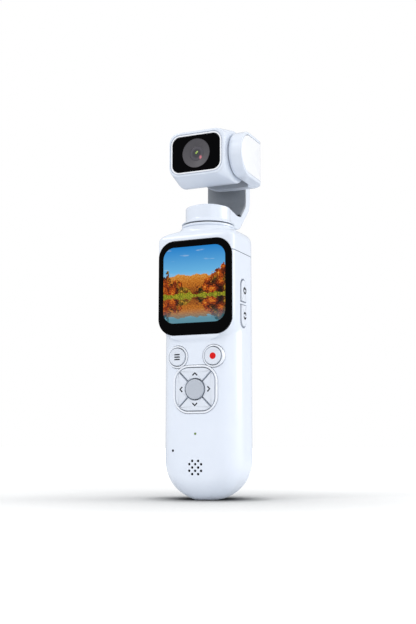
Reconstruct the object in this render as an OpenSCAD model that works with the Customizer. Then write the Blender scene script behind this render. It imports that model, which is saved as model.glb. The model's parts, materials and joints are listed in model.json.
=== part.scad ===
// Pocket camera on a three-axis gimbal, standing on its foot.
// The pan axis is the Z axis, the floor is z = 0, the screen and the lens face -Y, the side keys face +X.

/* [Handle] */
// Width of the handle
body_w = 28.4; // [27:0.1:34]
// Distance from the pan axis to the front face of the grip
body_front = 10.55; // [10:0.05:12.5]
// Distance from the pan axis to the back
body_rear = 12; // [11.5:0.1:15]
// Radius of the upright corners of the grip and of the foot's front and back edges
grip_r = 8.3; // [7:0.1:9]
// Wall of the casing
wall = 1.5; // [1.3:0.05:1.7]
// Height of the seam under the top cover
seam_z = 83.4; // [80:0.1:85]
// Radius of the foot, seen from the front
foot_front_r = 14.1; // [12:0.1:14.15]
// How much of the rounded foot is cut flat to stand on
foot_cut = 0.6; // [0.4:0.05:1]
// Distance from the pan axis to the edge of the back cover
back_cover_y = 8.6; // [8:0.1:9.5]
// Height of the lower edge of the back cover
back_cover_z = 14; // [13:0.5:20]

/* [Screen] */
// Distance from the pan axis to the front of the screen housing
pod_front = 11.3; // [11:0.05:12.9]
// Height of the lower edge of the screen housing
pod_z = 53.8; // [53:0.1:54.2]
// Radius of the housing's front edges, seen from above
pod_edge_r = 1.6; // [1:0.1:2.2]
// Radius of the housing's lower corners, seen from the front
pod_corner_r = 6.4; // [5:0.1:7]
// Width of the cover glass
glass_w = 27.3; // [25:0.1:27.4]
// Height of the cover glass
glass_h = 32.7; // [31:0.1:33]
// Corner radius of the cover glass
glass_r = 5.8; // [4:0.1:6.5]
// Thickness of the cover glass
glass_t = 1.1; // [0.8:0.05:1.2]
// How far the glass stands proud of its housing
glass_proud = 0.25; // [0.1:0.05:0.3]
// Height of the middle of the glass
glass_z = 71.4; // [71:0.1:71.8]
// Width of the display panel
panel_w = 24.4; // [23:0.1:24.6]
// Height of the display panel
panel_h = 29.4; // [26:0.1:29.8]
// Thickness of the display panel
panel_t = 1.5; // [1:0.1:1.7]

/* [Keys] */
// Sideways place of the mode and record buttons
button_x = 6.6; // [6.4:0.05:6.8]
// Height of the mode and record buttons
button_z = 47.7; // [47.5:0.1:48]
// Radius of the mode and record buttons
button_r = 3.1; // [2.6:0.05:3.2]
// Width of the raised rim round a button
rim_w = 0.9; // [0.7:0.05:1]
// Height of the middle of the direction pad
pad_z = 36.7; // [36.5:0.1:36.9]
// Width of the four direction keys together
pad_w = 14.3; // [13.6:0.1:14.5]
// Outer corner radius of the direction keys
pad_r = 4.6; // [3.5:0.1:5]
// Width of the diagonal gaps between the direction keys
pad_gap = 0.55; // [0.4:0.05:0.7]
// Width of the raised rim round the direction keys
pad_rim = 0.95; // [0.7:0.05:1]
// Radius of the centre key
center_r = 3.45; // [3:0.05:3.6]
// Travel of the front keys
key_travel = 0.35; // [0.2:0.05:0.4]
// Clearance round a key
key_gap = 0.12; // [0.08:0.01:0.15]
// Distance from the pan axis to the tops of the round keys
key_top = 11.4; // [11.2:0.05:11.6]
// Distance from the pan axis to the tops of the direction keys
pad_top = 10.95; // [10.8:0.05:11.1]

/* [Side keys] */
// Depth place of the side keys
side_key_y = -2.4; // [-2.6:0.1:-2]
// Height of the middle of the side keys
side_key_z = 66; // [65.5:0.1:66.5]
// Width of a side key
side_key_w = 4.3; // [3.8:0.1:4.5]
// Length of a side key
side_key_h = 7.3; // [6.5:0.1:7.5]
// Distance between the two side keys
side_key_gap = 1.3; // [1.2:0.05:1.6]
// How far a side key stands proud
side_key_proud = 0.2; // [0.1:0.05:0.3]
// Travel of a side key
side_key_travel = 0.3; // [0.2:0.05:0.35]

/* [Openings] */
// Height of the charging port
port_z = 24; // [23:0.1:26]
// Width of the charging port
port_w = 8.9; // [8.9:0.05:9.1]
// Height of the charging port's shell
port_h = 3.2; // [3:0.05:3.3]
// Height of the middle of the card slot
card_z = 45; // [44:0.1:46]
// Width of the card slot
card_w = 11.4; // [11.2:0.1:12]
// Thickness of the card slot
card_h = 1.1; // [0.9:0.05:1.3]
// Height of the indicator light
led_z = 21.9; // [21.5:0.1:22.3]
// Sideways place of the microphone hole
mic_x = -8.2; // [-8.4:0.1:-8]
// Height of the microphone hole
mic_z = 16.4; // [16.3:0.05:16.8]
// Height of the middle of the speaker holes
speaker_z = 10.8; // [10.6:0.05:11]
// Half step of the staggered speaker holes
speaker_step = 1.08; // [0.95:0.01:1.15]
// Radius of a speaker hole
speaker_hole_r = 0.42; // [0.3:0.01:0.45]
// Radius of the tripod thread
thread_r = 3.175; // [3.1:0.005:3.3]
// Depth of the tripod thread
thread_depth = 6; // [5:0.1:6.3]

/* [Pan stage] */
// Radius of the neck under the pan rotor
neck_r = 9.3; // [9:0.05:9.6]
// Height of the top of the neck
neck_z = 94.3; // [94:0.1:94.4]
// Radius of the pan rotor
pan_r = 7.95; // [7.8:0.05:8.2]
// Height of the top of the pan rotor
pan_top = 100.9; // [100.5:0.1:101.2]
// Gap between the neck and the pan rotor
pan_gap = 0.45; // [0.35:0.05:0.5]
// Radius of the disc on the pan rotor
pan_disc_r = 6.3; // [6:0.1:6.8]
// Height of the disc on the pan rotor
pan_disc_h = 0.5; // [0.4:0.1:1.4]
// Width of the arm
arm_w = 15.2; // [14:0.1:15.4]
// Distance from the pan axis to the inner face of the arm
arm_front = 16.4; // [16.4:0.1:17]
// Distance from the pan axis to the outer face of the arm
arm_rear = 21.2; // [21:0.1:23]
// Thickness of the grey cover inside the arm
arm_cover_t = 0.9; // [0.7:0.05:1]

/* [Head] */
// Height of the tilt and roll axes
axis_z = 118.9; // [118.6:0.1:120]
// Width of the camera
cam_w = 19.8; // [19:0.1:20]
// Height of the camera's front
cam_h = 15.2; // [14.8:0.1:15.6]
// Corner radius of the camera's front
cam_corner_r = 3.6; // [3:0.1:4]
// Distance from the tilt axis to the camera's front
cam_front = 10.4; // [10.2:0.1:11]
// Radius of the camera's round back
cam_r = 9.1; // [8.8:0.1:9.2]
// Wall of the camera
cam_wall = 1.2; // [1:0.05:1.3]
// Width of the camera's window
window_w = 18.1; // [17.4:0.1:18.2]
// Height of the camera's window
window_h = 12.8; // [12.2:0.1:13]
// Corner radius of the camera's window
window_r = 2.8; // [2.2:0.1:3]
// Radius of the lens barrel
lens_r = 5.2; // [4.8:0.05:5.3]
// Distance from the pan axis to the frame's inner side
frame_x = 11.6; // [11.5:0.05:11.8]
// Width of the frame's side that holds the tilt motor
frame_w = 4.3; // [4.1:0.1:5.4]
// Radius of the frame round the tilt motor
frame_r = 8; // [7.8:0.05:8.4]
// Distance from the roll axis down to the frame's rear lower edge
frame_low = 9; // [8.4:0.1:9.2]
// Radius of the frame round the roll motor
frame_back_r = 8.6; // [8.2:0.1:8.8]
// Distance from the tilt axis to the frame's back plate
frame_back = 9.65; // [9.6:0.05:9.8]
// Thickness of the frame's back plate
frame_t = 3; // [2.8:0.1:3]

/* [Hidden] */
$fn = 64;

// How far a cut runs past the surface that it opens
overrun = 1;
// Clearance between pieces that are only laid together
seat_gap = 0.1;
// Clearance of a piece set into another flush with its face
inlay_gap = 0.08;
// Clearance between parts that turn past each other
turn_gap = 0.3;
// Radial clearance of a shaft in its bearing
shaft_play = 0.02;

white = "#eef1f6";
grey = "#8b9096";
metal = "#b9bec6";
copper = "#b8733a";
black = "#15161a";
board_green = "#1f5a3c";

// Radial clearance of a piece pressed or glued into another
fit_gap = 0.03;

// Handle, worked out
body_half = body_w / 2;
foot_front_z = foot_front_r - foot_cut;
foot_side_z = grip_r - foot_cut;
inner_front = body_front - wall;
inner_half = body_half - wall;
reach = 200;

foot_skin = 0.03;
panel_r = 1;

// Top cover
shoulder_z = 92.6;
shoulder_r = 4.5;
shoulder_front_r = 4;
deck_z = 89.6;
skirt_h = 2;
skirt_t = 0.8;
neck_root_r = 10.9;
neck_root_z = 91.2;
neck_groove_r = 8.9;
neck_groove_z = 93;
neck_groove_h = 0.5;

// Front keys: what lies behind the wall
flange_back = 0.35;
flange_t = 0.6;
flange_w = 0.4;
flange_play = 0.05;
nub_t = 0.5;
nub_r = 1;
dome_t = 0.3;
dome_r = 1.7;
flange_y = inner_front - flange_back;
nub_y = flange_y - flange_t - nub_t;
dome_y = nub_y - key_travel - flange_play;
key_board_y = dome_y - dome_t;
key_board_t = 0.8;
key_board_w = 18;
key_board_z0 = 15.3;
key_board_z1 = 53.4;
key_pocket = 3;
rim_proud = 0.45;
pad_rim_proud = 0.3;
pad_reach = 5.3;
center_gap = 0.3;
led_r = 0.35;
mic_hole_r = 0.35;

// Side keys
side_rim = 0.45;
side_sink = 0.35;
side_flange_t = 0.4;
side_flange_w = 0.5;
side_nub_t = 0.2;
side_nub_r = 0.8;
side_switch_t = 0.5;
side_switch_w = 3;
side_board_t = 0.6;
side_flange_x = inner_half - flange_play;
side_nub_x = side_flange_x - side_flange_t - side_nub_t;
side_switch_x = side_nub_x - side_key_travel - flange_play;
side_step = (side_key_h + side_key_gap) / 2;

// Boards, battery and what they carry
board_t = 0.8;
main_board_y = 4.6;
main_board_w = 20;
main_board_z0 = 18.5;
main_board_z1 = 76;
chip_w = 11;
chip_h = 12;
chip_t = 1;
chip_z = 38;
radio_w = 9;
radio_h = 10;
radio_z = 63;
tray_y = -0.3;
tray_t = 0.8;
tray_w = 20.4;
tray_z0 = 7;
tray_z1 = 82;
reader_y0 = board_t - main_board_y;
stop_t = 1;
stop_d = 5;
battery_w = 18.4;
battery_t = 8.4;
battery_z0 = 9.4;
battery_z1 = 60;
lug_w = 5;
lug_d = 3.3;
lug_h = 4;
lug_z = 79;
lug_in = 0.5;
tray_screw_x = 9.3;
screw_r = 0.65;
screw_head_r = 1.3;
screw_head_t = 0.8;
speaker_w = 11;
speaker_h = 8;
speaker_t = 2.7;
mic_w = 2;
port_l = 7;
port_shell_t = 0.3;
port_tongue_t = 0.7;
port_tongue_w = 6.7;
reader_l = 14;
reader_t = 1.8;
insert_r = 3.9;
insert_h = 6.6;
insert_wall = 1.3;

// Motors
pan_wall = 0.9;
pan_roof = 1;
pan_post_r = 2.45;
pan_bore_r = 2;
pan_shaft_r = 0.98;
pan_post_gap = 0.7;
pan_bearing_h = 1.5;
pan_magnet_t = 0.85;
pan_air = 0.45;
pan_stator_z = 95.8;
pan_stator_h = 2.6;
pan_lip_r = 9.3;
pan_lip_h = 0.5;
teeth = 9;
core_t = 0.7;
tooth_w = 0.6;
coil_t = 0.35;
arm_foot_rear = 10.8;
arm_foot_top = 99.8;
arm_ramp_y = 2.4;
arm_ramp_drop = 0.1;
arm_crook = 10.7;
arm_back_wall = 1.3;
arm_side_wall = 1.1;
roll_post_r = 2.2;
roll_bearing_r = 1.7;
roll_shaft_r = 0.78;
roll_bearing_h = 1.2;
roll_disc_over = 0.5;
roll_disc_gap = 0.5;
roll_play = 0.4;
roll_magnet_t = 0.9;
roll_stator_h = 2.2;
post_gap = 0.45;
rotor_screw_ring_r = 4;
arm_screw_in = 0.9;
arm_screw_up = 0.8;
arm_screw_head_r = 0.55;
arm_screw_head_t = 0.4;
arm_screw_sink = 0.1;
arm_screw_r = 0.35;
arm_screw_l = 2.4;
slab_web_t = 0.7;
cap_t = 0.85;
cap_in = 1.2;
frame_rear_r = 1.8;
tilt_bore_r = 6.4;
tilt_post_r = 2;
tilt_bearing_r = 1.5;
tilt_bearing_h = 0.9;
tilt_shaft_r = 0.68;
tilt_disc_r = 6.1;
tilt_magnet_r = 5.7;
tilt_magnet_t = 0.8;
tilt_stator_r = 4.6;

// Motors, worked out
pan_z = neck_z + pan_gap;
pan_in_z = pan_top - pan_roof;
pan_shaft_z = pan_top + pan_disc_h / 2;
pan_magnet_r = pan_r - pan_wall - fit_gap;
pan_stator_r = pan_magnet_r - pan_magnet_t - pan_air;
arm_knee_out = pan_z + arm_rear - arm_foot_rear;
arm_knee_in = arm_foot_top + arm_front - arm_crook;
arm_skin = arm_cover_t * sqrt(2);
arm_face = arm_front + arm_cover_t;
arm_floor = arm_rear - arm_back_wall;
frame_rear = frame_back + frame_t;
roll_disc_y = arm_front - roll_disc_gap;
roll_post_y = roll_disc_y + post_gap;
roll_bore_r = arm_w / 2 - arm_side_wall;
roll_disc_r = roll_bore_r + roll_disc_over;
roll_magnet_r = roll_bore_r - roll_play;
roll_stator_r = roll_magnet_r - roll_magnet_t - turn_gap;
frame_out = frame_x + frame_w;
cam_half = cam_w / 2;
roll_stator_y = roll_post_y + turn_gap + coil_t;
cap_x = frame_out - cap_t;
web_x = cap_x - slab_web_t;
tilt_disc_x = frame_x - turn_gap;
tilt_post_x = tilt_disc_x + post_gap;
tilt_stator_x = tilt_post_x + coil_t;
tilt_stator_h = web_x - turn_gap - coil_t - tilt_stator_x;

// Camera, worked out
cam_split = 1.5;
cam_end = 1.1;
cam_skin = 0.4;
glass_seat = 0.85;
window_ledge = 1;
lens_gap = 0.05;
lens_back = 1.6;
lens_bore_r = 4.2;
lens_y = cam_wall + lens_gap - cam_front;
lens_step = 2.4;
lens_t = 1.4;
lens_bulge = 0.7;
lens_base_w = 11;
sensor_w = 8;
sensor_h = 6.4;
sensor_t = 0.7;
sensor_board_w = 13;
sensor_board_h = 12;
sensor_board_t = 0.8;
cam_post_r = 0.8;
cam_post_x = 5.4;
cam_post_z = 4.8;
cam_post_share = 0.8;

module along_x(x0, x1) {
    translate([x0, 0, 0]) rotate([90, 0, 90]) linear_extrude(x1 - x0) children();
}

module along_y(y0, y1) {
    translate([0, y1, 0]) rotate([90, 0, 0]) linear_extrude(y1 - y0) children();
}

module along_z(z0, z1) {
    translate([0, 0, z0]) linear_extrude(z1 - z0) children();
}

module rod_x(x0, x1, r, y = 0, z = 0) {
    translate([x0, y, z]) rotate([0, 90, 0]) cylinder(h = x1 - x0, r = r);
}

module rod_y(y0, y1, r, x = 0, z = 0) {
    translate([x, y0, z]) rotate([-90, 0, 0]) cylinder(h = y1 - y0, r = r);
}

module rod_z(z0, z1, r, x = 0, y = 0) {
    translate([x, y, z0]) cylinder(h = z1 - z0, r = r);
}

module block(x, y, z) {
    translate([x[0], y[0], z[0]]) cube([x[1] - x[0], y[1] - y[0], z[1] - z[0]]);
}

module soft_rect(w, h, r) {
    square([w - 2 * r, h], center = true);
    square([w, h - 2 * r], center = true);
    for (sx = [-1, 1], sy = [-1, 1])
        translate([sx * (w / 2 - r), sy * (h / 2 - r)]) circle(r = r);
}

module turned(steps) {
    for (i = [0:steps - 1]) rotate([0, 0, i * 360 / steps]) children();
}

// Outline of the handle seen from above, t inside its surface, with front corners of radius rf
module plan_outline(t, front, rf) {
    w = body_w - 2 * t;
    f = front - t;
    r = body_rear - t;
    a = rf - t;
    b = grip_r - t;
    for (s = [-1, 1]) {
        translate([s * (w / 2 - a), a - f]) circle(r = a);
        translate([s * (w / 2 - b), r - b]) circle(r = b);
    }
    translate([a - w / 2, -f]) square([w - 2 * a, f]);
    translate([-w / 2, a - f]) square([w, f - a + r - b]);
    translate([b - w / 2, 0]) square([w - 2 * b, r]);
}

// The rounded foot seen from the front, t inside the surface
module foot_outline(t) {
    for (s = [-1, 1])
        translate([s * (body_half - foot_front_r), foot_front_z]) circle(r = foot_front_r - t);
    translate([t - body_half, foot_front_z]) square([body_w - 2 * t, reach]);
}

// The grip with round upright corners, ball corners at the foot and a flat to stand on
module grip_form(t, z0, z1) {
    r = grip_r - t;
    x = body_half - grip_r;
    low = max(z0, foot_side_z);
    intersection() {
        union() {
            along_z(low, z1) plan_outline(t, body_front, grip_r);
            if (z0 < foot_side_z) hull()
                for (sx = [-1, 1], y = [grip_r - body_front, body_rear - grip_r])
                    translate([sx * x, y, foot_side_z]) {
                        sphere(r = r, $fn = 32);
                        cylinder(h = foot_skin, r = r, $fn = 32);
                    }
        }
        along_y(-reach, reach) foot_outline(t);
        block([-reach, reach], [-reach, reach], [z0, z1]);
    }
}

// The square-edged block behind the screen, down to its rounded lower corners
module pod_form() {
    intersection() {
        along_z(pod_z, seam_z) plan_outline(0, pod_front, pod_edge_r);
        along_y(-reach, 0) {
            for (s = [-1, 1])
                translate([s * (body_half - pod_corner_r), pod_z + pod_corner_r]) circle(r = pod_corner_r);
            translate([pod_corner_r - body_half, pod_z]) square([body_w - 2 * pod_corner_r, pod_corner_r]);
            translate([-body_half, pod_z + pod_corner_r]) square([body_w, seam_z]);
        }
    }
}

// Pockets for the cover glass and for the display behind it
module screen_cuts() {
    translate([0, 0, glass_z]) {
        along_y(-reach, glass_t - pod_front - glass_proud)
            soft_rect(glass_w + 2 * inlay_gap, glass_h + 2 * inlay_gap, glass_r);
        along_y(-reach, -inner_front + overrun)
            soft_rect(panel_w + 2 * seat_gap, panel_h + 2 * seat_gap, panel_r);
    }
}

module button_hole(x) {
    rod_y(-reach, -inner_front + overrun, button_r + key_gap, x, button_z);
    rod_y(-flange_y - flange_play, -flange_y + key_pocket, button_r + flange_w + key_gap, x, button_z);
}

module side_outline(grow) {
    h = 2 * side_key_h + side_key_gap + 2 * grow;
    translate([side_key_y, side_key_z]) soft_rect(side_key_w + 2 * grow, h, side_key_w / 2 + grow - fit_gap);
}

// The two side keys are the halves of one long pill
module side_key_outline(s, grow) intersection() {
    side_outline(grow);
    translate([-reach, side_key_z + s * (side_key_gap / 2 - grow + reach) - reach])
        square([2 * reach, 2 * reach]);
}

module port_outline(grow) {
    translate([-main_board_y + board_t + port_h / 2, port_z])
        soft_rect(port_h + 2 * grow, port_w + 2 * grow, port_h / 2 + grow - fit_gap);
}

module front_casing() color(white) {
    difference() {
        union() {
            difference() {
                union() {
                    grip_form(0, 0, seam_z);
                    pod_form();
                }
                grip_form(wall, wall, seam_z + overrun);
            }
            for (s = [-1, 1]) {
                intersection() {
                    rod_y(-body_front - rim_proud, -flange_y, button_r + rim_w, s * button_x, button_z);
                    along_z(0, seam_z) square([body_w, reach], center = true);
                }
                translate([s * (body_half - lug_in - lug_w / 2), 0, lug_z])
                    block([-lug_w / 2, lug_w / 2], [tray_y - lug_d, tray_y], [-lug_h / 2, lug_h / 2]);
            }
            translate([0, 0, pad_z]) along_y(-body_front - pad_rim_proud, -inner_front)
                soft_rect(pad_w + 2 * pad_rim, pad_w + 2 * pad_rim, pad_r + pad_rim);
            rod_z(foot_cut, insert_h + fit_gap, insert_r + insert_wall);
        }
        block([-reach, reach], [back_cover_y, reach], [back_cover_z, seam_z + overrun]);
        screen_cuts();
        for (s = [-1, 1]) {
            button_hole(s * button_x);
            rod_y(-reach, reach, screw_r + fit_gap, s * tray_screw_x, lug_z);
        }
        translate([0, 0, pad_z]) along_y(-reach, -inner_front + overrun)
            soft_rect(pad_w + 2 * key_gap, pad_w + 2 * key_gap, pad_r + key_gap);
        rod_y(-reach, -inner_front + overrun, led_r + fit_gap, 0, led_z);
        rod_y(-reach, -inner_front + key_pocket, mic_hole_r, mic_x, mic_z);
        for (j = [-2:2], i = abs(j) == 1 ? [-2, 0, 2] : [-1, 1])
            rod_y(-reach, -inner_front + overrun, speaker_hole_r,
                i * speaker_step, speaker_z + j * speaker_step);
        along_x(body_half - side_sink, reach) side_outline(side_rim);
        for (s = [-1, 1]) along_x(inner_half - overrun, reach) side_key_outline(s, key_gap);
        along_x(side_switch_x - side_switch_t, inner_half) side_outline(side_flange_w + side_flange_t);
        along_x(-reach, -inner_half + overrun) port_outline(seat_gap);
        block([-reach, -inner_half + overrun], [reader_y0 + seat_gap, reader_y0 + seat_gap + card_h],
            [card_z - card_w / 2, card_z + card_w / 2]);
        rod_z(-overrun, insert_h + overrun, insert_r + fit_gap);
    }
}

module rear_cover() color(white) difference() {
    intersection() {
        grip_form(0, back_cover_z, seam_z);
        block([-reach, reach], [back_cover_y, reach], [back_cover_z, seam_z]);
    }
    grip_form(wall, back_cover_z - overrun, seam_z + overrun);
}

module shoulder_outline(half0, half1, r0) {
    translate([-half0, 0]) square([half0 + half1, shoulder_z - r0]);
    translate([r0 - half0, 0]) square([half0 + half1 - r0, shoulder_z]);
    translate([r0 - half0, shoulder_z - r0]) circle(r = r0);
}

// Top of the handle: the front half is square-cornered like the screen housing, the back half is round
module shoulder_form() {
    r = shoulder_r;
    z = shoulder_z - r;
    x = body_half - grip_r;
    y = body_rear - grip_r;
    along_z(seam_z, z) plan_outline(0, pod_front, pod_edge_r);
    intersection() {
        along_z(seam_z, shoulder_z) plan_outline(0, pod_front, pod_edge_r);
        along_y(-pod_front, 0) intersection() {
            shoulder_outline(body_half, body_half, r);
            mirror([1, 0]) shoulder_outline(body_half, body_half, r);
        }
        along_x(-reach, reach) shoulder_outline(pod_front, body_rear, shoulder_front_r);
    }
    for (s = [-1, 1]) {
        rod_y(0, y, r, s * (body_half - r), z);
        translate([s * x, y, z]) rotate_extrude() {
            translate([grip_r - r, 0]) intersection() {
                circle(r = r);
                translate([0, -r]) square([r, 2 * r]);
            }
            square([grip_r - r, r]);
        }
    }
    rod_x(-x, x, r, body_rear - r, z);
    block([r - body_half, body_half - r], [0, y], [seam_z, shoulder_z]);
    block([-x, x], [0, body_rear - r], [seam_z, shoulder_z]);
}

module top_cover() color(white) difference() {
    union() {
        shoulder_form();
        difference() {
            along_z(seam_z - skirt_h, seam_z + overrun) plan_outline(wall + seat_gap, body_front, grip_r);
            along_z(seam_z - skirt_h - overrun, seam_z + 2 * overrun)
                plan_outline(wall + seat_gap + skirt_t, body_front, grip_r);
            block([-reach, reach], [-reach, -main_board_y], [0, seam_z]);
        }
        rotate_extrude() polygon([[0, neck_root_z], [neck_root_r, neck_root_z], [neck_r, neck_groove_z],
            [neck_groove_r, neck_groove_z], [neck_groove_r, neck_groove_z + neck_groove_h],
            [neck_r, neck_groove_z + neck_groove_h], [neck_r, neck_z], [0, neck_z]]);
        rod_z(neck_z, pan_in_z - pan_post_gap, pan_post_r);
    }
    along_z(seam_z - overrun, deck_z) plan_outline(wall + skirt_t + seat_gap, body_front, grip_r);
    rod_z(seam_z, pan_top, pan_bore_r);
    screen_cuts();
}

module screen_glass() color(black) {
    front = pod_front + glass_proud;
    translate([0, 0, glass_z]) along_y(-front, glass_t - front) soft_rect(glass_w, glass_h, glass_r);
}

module display_panel() color("#2f6fb4") {
    y0 = glass_t - pod_front - glass_proud;
    translate([0, 0, glass_z]) along_y(y0, y0 + panel_t) soft_rect(panel_w, panel_h, panel_r);
}

module main_board() color(board_green) {
    half = main_board_w / 2;
    block([-half, half], [-main_board_y, reader_y0], [main_board_z0, main_board_z1]);
    block([-chip_w / 2, chip_w / 2], [-main_board_y - chip_t, -main_board_y], [chip_z, chip_z + chip_h]);
    block([-radio_w / 2, radio_w / 2], [reader_y0, reader_y0 + chip_t], [radio_z, radio_z + radio_h]);
}

module key_board() color(board_green) {
    half = key_board_w / 2;
    block([-half, half], [-key_board_y, key_board_t - key_board_y], [key_board_z0, key_board_z1]);
    block([-led_r, led_r], [-key_board_y - dome_t, -key_board_y], [led_z - led_r, led_z + led_r]);
}

module dome_switches() color(metal) {
    for (s = [-1, 1]) {
        rod_y(-dome_y, -key_board_y, dome_r, s * button_x, button_z);
        rod_y(-dome_y, -key_board_y, dome_r, s * pad_reach, pad_z);
        rod_y(-dome_y, -key_board_y, dome_r, 0, pad_z + s * pad_reach);
    }
    rod_y(-dome_y, -key_board_y, dome_r, 0, pad_z);
}

module battery() color("#3a3f47") {
    y0 = tray_y + tray_t;
    block([-battery_w / 2, battery_w / 2], [y0, y0 + battery_t], [battery_z0, battery_z1]);
}

module battery_tray() color(metal) difference() {
    y1 = tray_y + tray_t;
    union() {
        block([-tray_w / 2, tray_w / 2], [tray_y, y1], [tray_z0, tray_z1]);
        for (z = [battery_z0 - seat_gap - stop_t, battery_z1 + seat_gap])
            block([-battery_w / 2, battery_w / 2], [tray_y, y1 + stop_d], [z, z + stop_t]);
    }
    for (s = [-1, 1]) rod_y(tray_y - overrun, y1 + overrun, screw_r + seat_gap, s * tray_screw_x, lug_z);
}

module tray_screws() color(metal) {
    y1 = tray_y + tray_t;
    for (s = [-1, 1]) {
        rod_y(tray_y - lug_d, y1, screw_r, s * tray_screw_x, lug_z);
        rod_y(y1, y1 + screw_head_t, screw_head_r, s * tray_screw_x, lug_z);
    }
}

module speaker_driver() color(black) {
    y0 = turn_gap - inner_front;
    block([-speaker_w / 2, speaker_w / 2], [y0, y0 + speaker_t],
        [speaker_z - speaker_h / 2, speaker_z + speaker_h / 2]);
}

module microphone() color(metal) {
    block([mic_x - mic_w / 2, mic_x + mic_w / 2], [-key_board_y - mic_w / 2, -key_board_y],
        [mic_z - mic_w / 2, mic_z + mic_w / 2]);
}

module led_light_pipe() color("#6f8f2a")
    rod_y(-body_front, -key_board_y - dome_t - flange_play, led_r, 0, led_z);

module usb_port() color(metal) {
    x0 = seat_gap - body_half;
    difference() {
        along_x(x0, x0 + port_l) port_outline(0);
        along_x(x0 - overrun, x0 + port_l - port_shell_t) port_outline(-port_shell_t);
    }
    translate([0, reader_y0 + port_h / 2, port_z])
        block([x0 + overrun, x0 + port_l - port_shell_t], [-port_tongue_t / 2, port_tongue_t / 2],
            [-port_tongue_w / 2, port_tongue_w / 2]);
}

module card_reader() color(metal) difference() {
    x0 = fit_gap - inner_half + overrun;
    block([x0, x0 + reader_l], [reader_y0, reader_y0 + reader_t],
        [card_z - card_w / 2 - overrun, card_z + card_w / 2 + overrun]);
    block([x0 - overrun, x0 + reader_l - overrun], [reader_y0 + seat_gap, reader_y0 + seat_gap + card_h],
        [card_z - card_w / 2, card_z + card_w / 2]);
}

module side_key_board() color(board_green) {
    x1 = side_switch_x - side_switch_t;
    block([x1 - side_board_t, x1], [side_key_y - side_key_w / 2, side_key_y + side_key_w / 2],
        [side_key_z - side_key_h, side_key_z + side_key_h]);
    for (s = [-1, 1])
        translate([0, side_key_y, side_key_z + s * side_step])
            block([x1, side_switch_x], [-side_switch_w / 2, side_switch_w / 2],
                [-side_switch_w / 2, side_switch_w / 2]);
}

module tripod_insert() color("#b5965a") difference() {
    rod_z(0, insert_h, insert_r);
    rod_z(-overrun, thread_depth, thread_r);
}

module round_key(x, z, r) {
    rod_y(-key_top, -flange_y, r, x, z);
    rod_y(-flange_y, flange_t - flange_y, r + flange_w, x, z);
    rod_y(flange_t - flange_y, -nub_y, nub_r, x, z);
}

module mode_button() color(white) round_key(-button_x, button_z, button_r);

module record_button() color("#e0342a") round_key(button_x, button_z, button_r);

module center_key() color("#c0c5cc") {
    rod_y(-key_top, flange_t - flange_y, center_r, 0, pad_z);
    rod_y(flange_t - flange_y, -nub_y, nub_r, 0, pad_z);
}

// One of the four wedges of the direction pad, pointing up before it is turned
module wedge_outline(grow) {
    side = pad_w + 2 * grow;
    lift = pad_gap / sqrt(2);
    difference() {
        intersection() {
            soft_rect(side, side, pad_r + grow);
            polygon([[0, lift], [side, lift + side], [-side, lift + side]]);
        }
        circle(r = center_r + center_gap);
    }
}

module direction_key(turn) color(white) translate([0, 0, pad_z]) rotate([0, turn, 0]) {
    along_y(-pad_top, -flange_y) wedge_outline(0);
    along_y(-flange_y, flange_t - flange_y) wedge_outline(flange_w);
    rod_y(flange_t - flange_y, -nub_y, nub_r, 0, pad_reach);
}

module up_key() direction_key(0);

module right_key() direction_key(90);

module down_key() direction_key(180);

module left_key() direction_key(270);

module side_key(s) color(white) {
    along_x(side_flange_x, body_half + side_key_proud) side_key_outline(s, 0);
    along_x(side_flange_x - side_flange_t, side_flange_x) side_key_outline(s, side_flange_w);
    rod_x(side_nub_x, side_flange_x, side_nub_r, side_key_y, side_key_z + s * side_step);
}

module power_button() side_key(1);

module function_button() side_key(-1);

// Motor parts with the axis along Z from z = 0: a toothed core, and one coil round each tooth
module core(r0, r1, h) {
    along_z(0, h) difference() {
        union() {
            circle(r = r0 + core_t);
            turned(teeth) translate([r0 + core_t / 2, -tooth_w / 2]) square([r1 - r0 - core_t / 2, tooth_w]);
        }
        circle(r = r0);
    }
}

module coils(r0, r1, h) {
    w = tooth_w + 2 * coil_t;
    turned(teeth) difference() {
        block([r0 + 2 * core_t, r1 - core_t / 2], [-w / 2, w / 2], [-coil_t, h + coil_t]);
        block([r0, r1], [-tooth_w / 2, tooth_w / 2], [0, h]);
    }
}

module ring(r0, r1, h) {
    difference() {
        cylinder(h = h, r = r1);
        translate([0, 0, -overrun]) cylinder(h = h + 2 * overrun, r = r0);
    }
}

module at_pan(z) translate([0, 0, z]) children();

// The roll motor's own axis runs back along +Y, the tilt motor's runs out along +X
module at_roll(y) translate([0, y, axis_z]) rotate([-90, 0, 0]) children();

module at_tilt(x) translate([x, 0, axis_z]) rotate([0, 90, 0]) children();

module pan_stator() color(metal) at_pan(pan_stator_z) core(pan_post_r + fit_gap, pan_stator_r, pan_stator_h);

module pan_coils() color(copper) at_pan(pan_stator_z) coils(pan_post_r, pan_stator_r, pan_stator_h);

module pan_bearings() color(metal)
    for (z = [neck_z + fit_gap, pan_in_z - pan_post_gap - pan_bearing_h])
        at_pan(z) ring(pan_shaft_r + shaft_play, pan_bore_r - fit_gap, pan_bearing_h);

module pan_shaft() color(metal) rod_z(neck_z - overrun, pan_shaft_z, pan_shaft_r);

module pan_magnet_ring() color("#4a4d52") {
    h = pan_in_z - fit_gap - pan_stator_z + turn_gap;
    at_pan(pan_in_z - fit_gap - h) ring(pan_magnet_r - pan_magnet_t, pan_magnet_r, h);
}

// The foot of the cover's slope inside the arm, beside its right edge, with Z square to the slope
module at_slope() translate([arm_w / 2 - arm_screw_in, arm_crook + arm_screw_up, arm_foot_top + arm_screw_up])
    rotate([45, 0, 0]) children();

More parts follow.
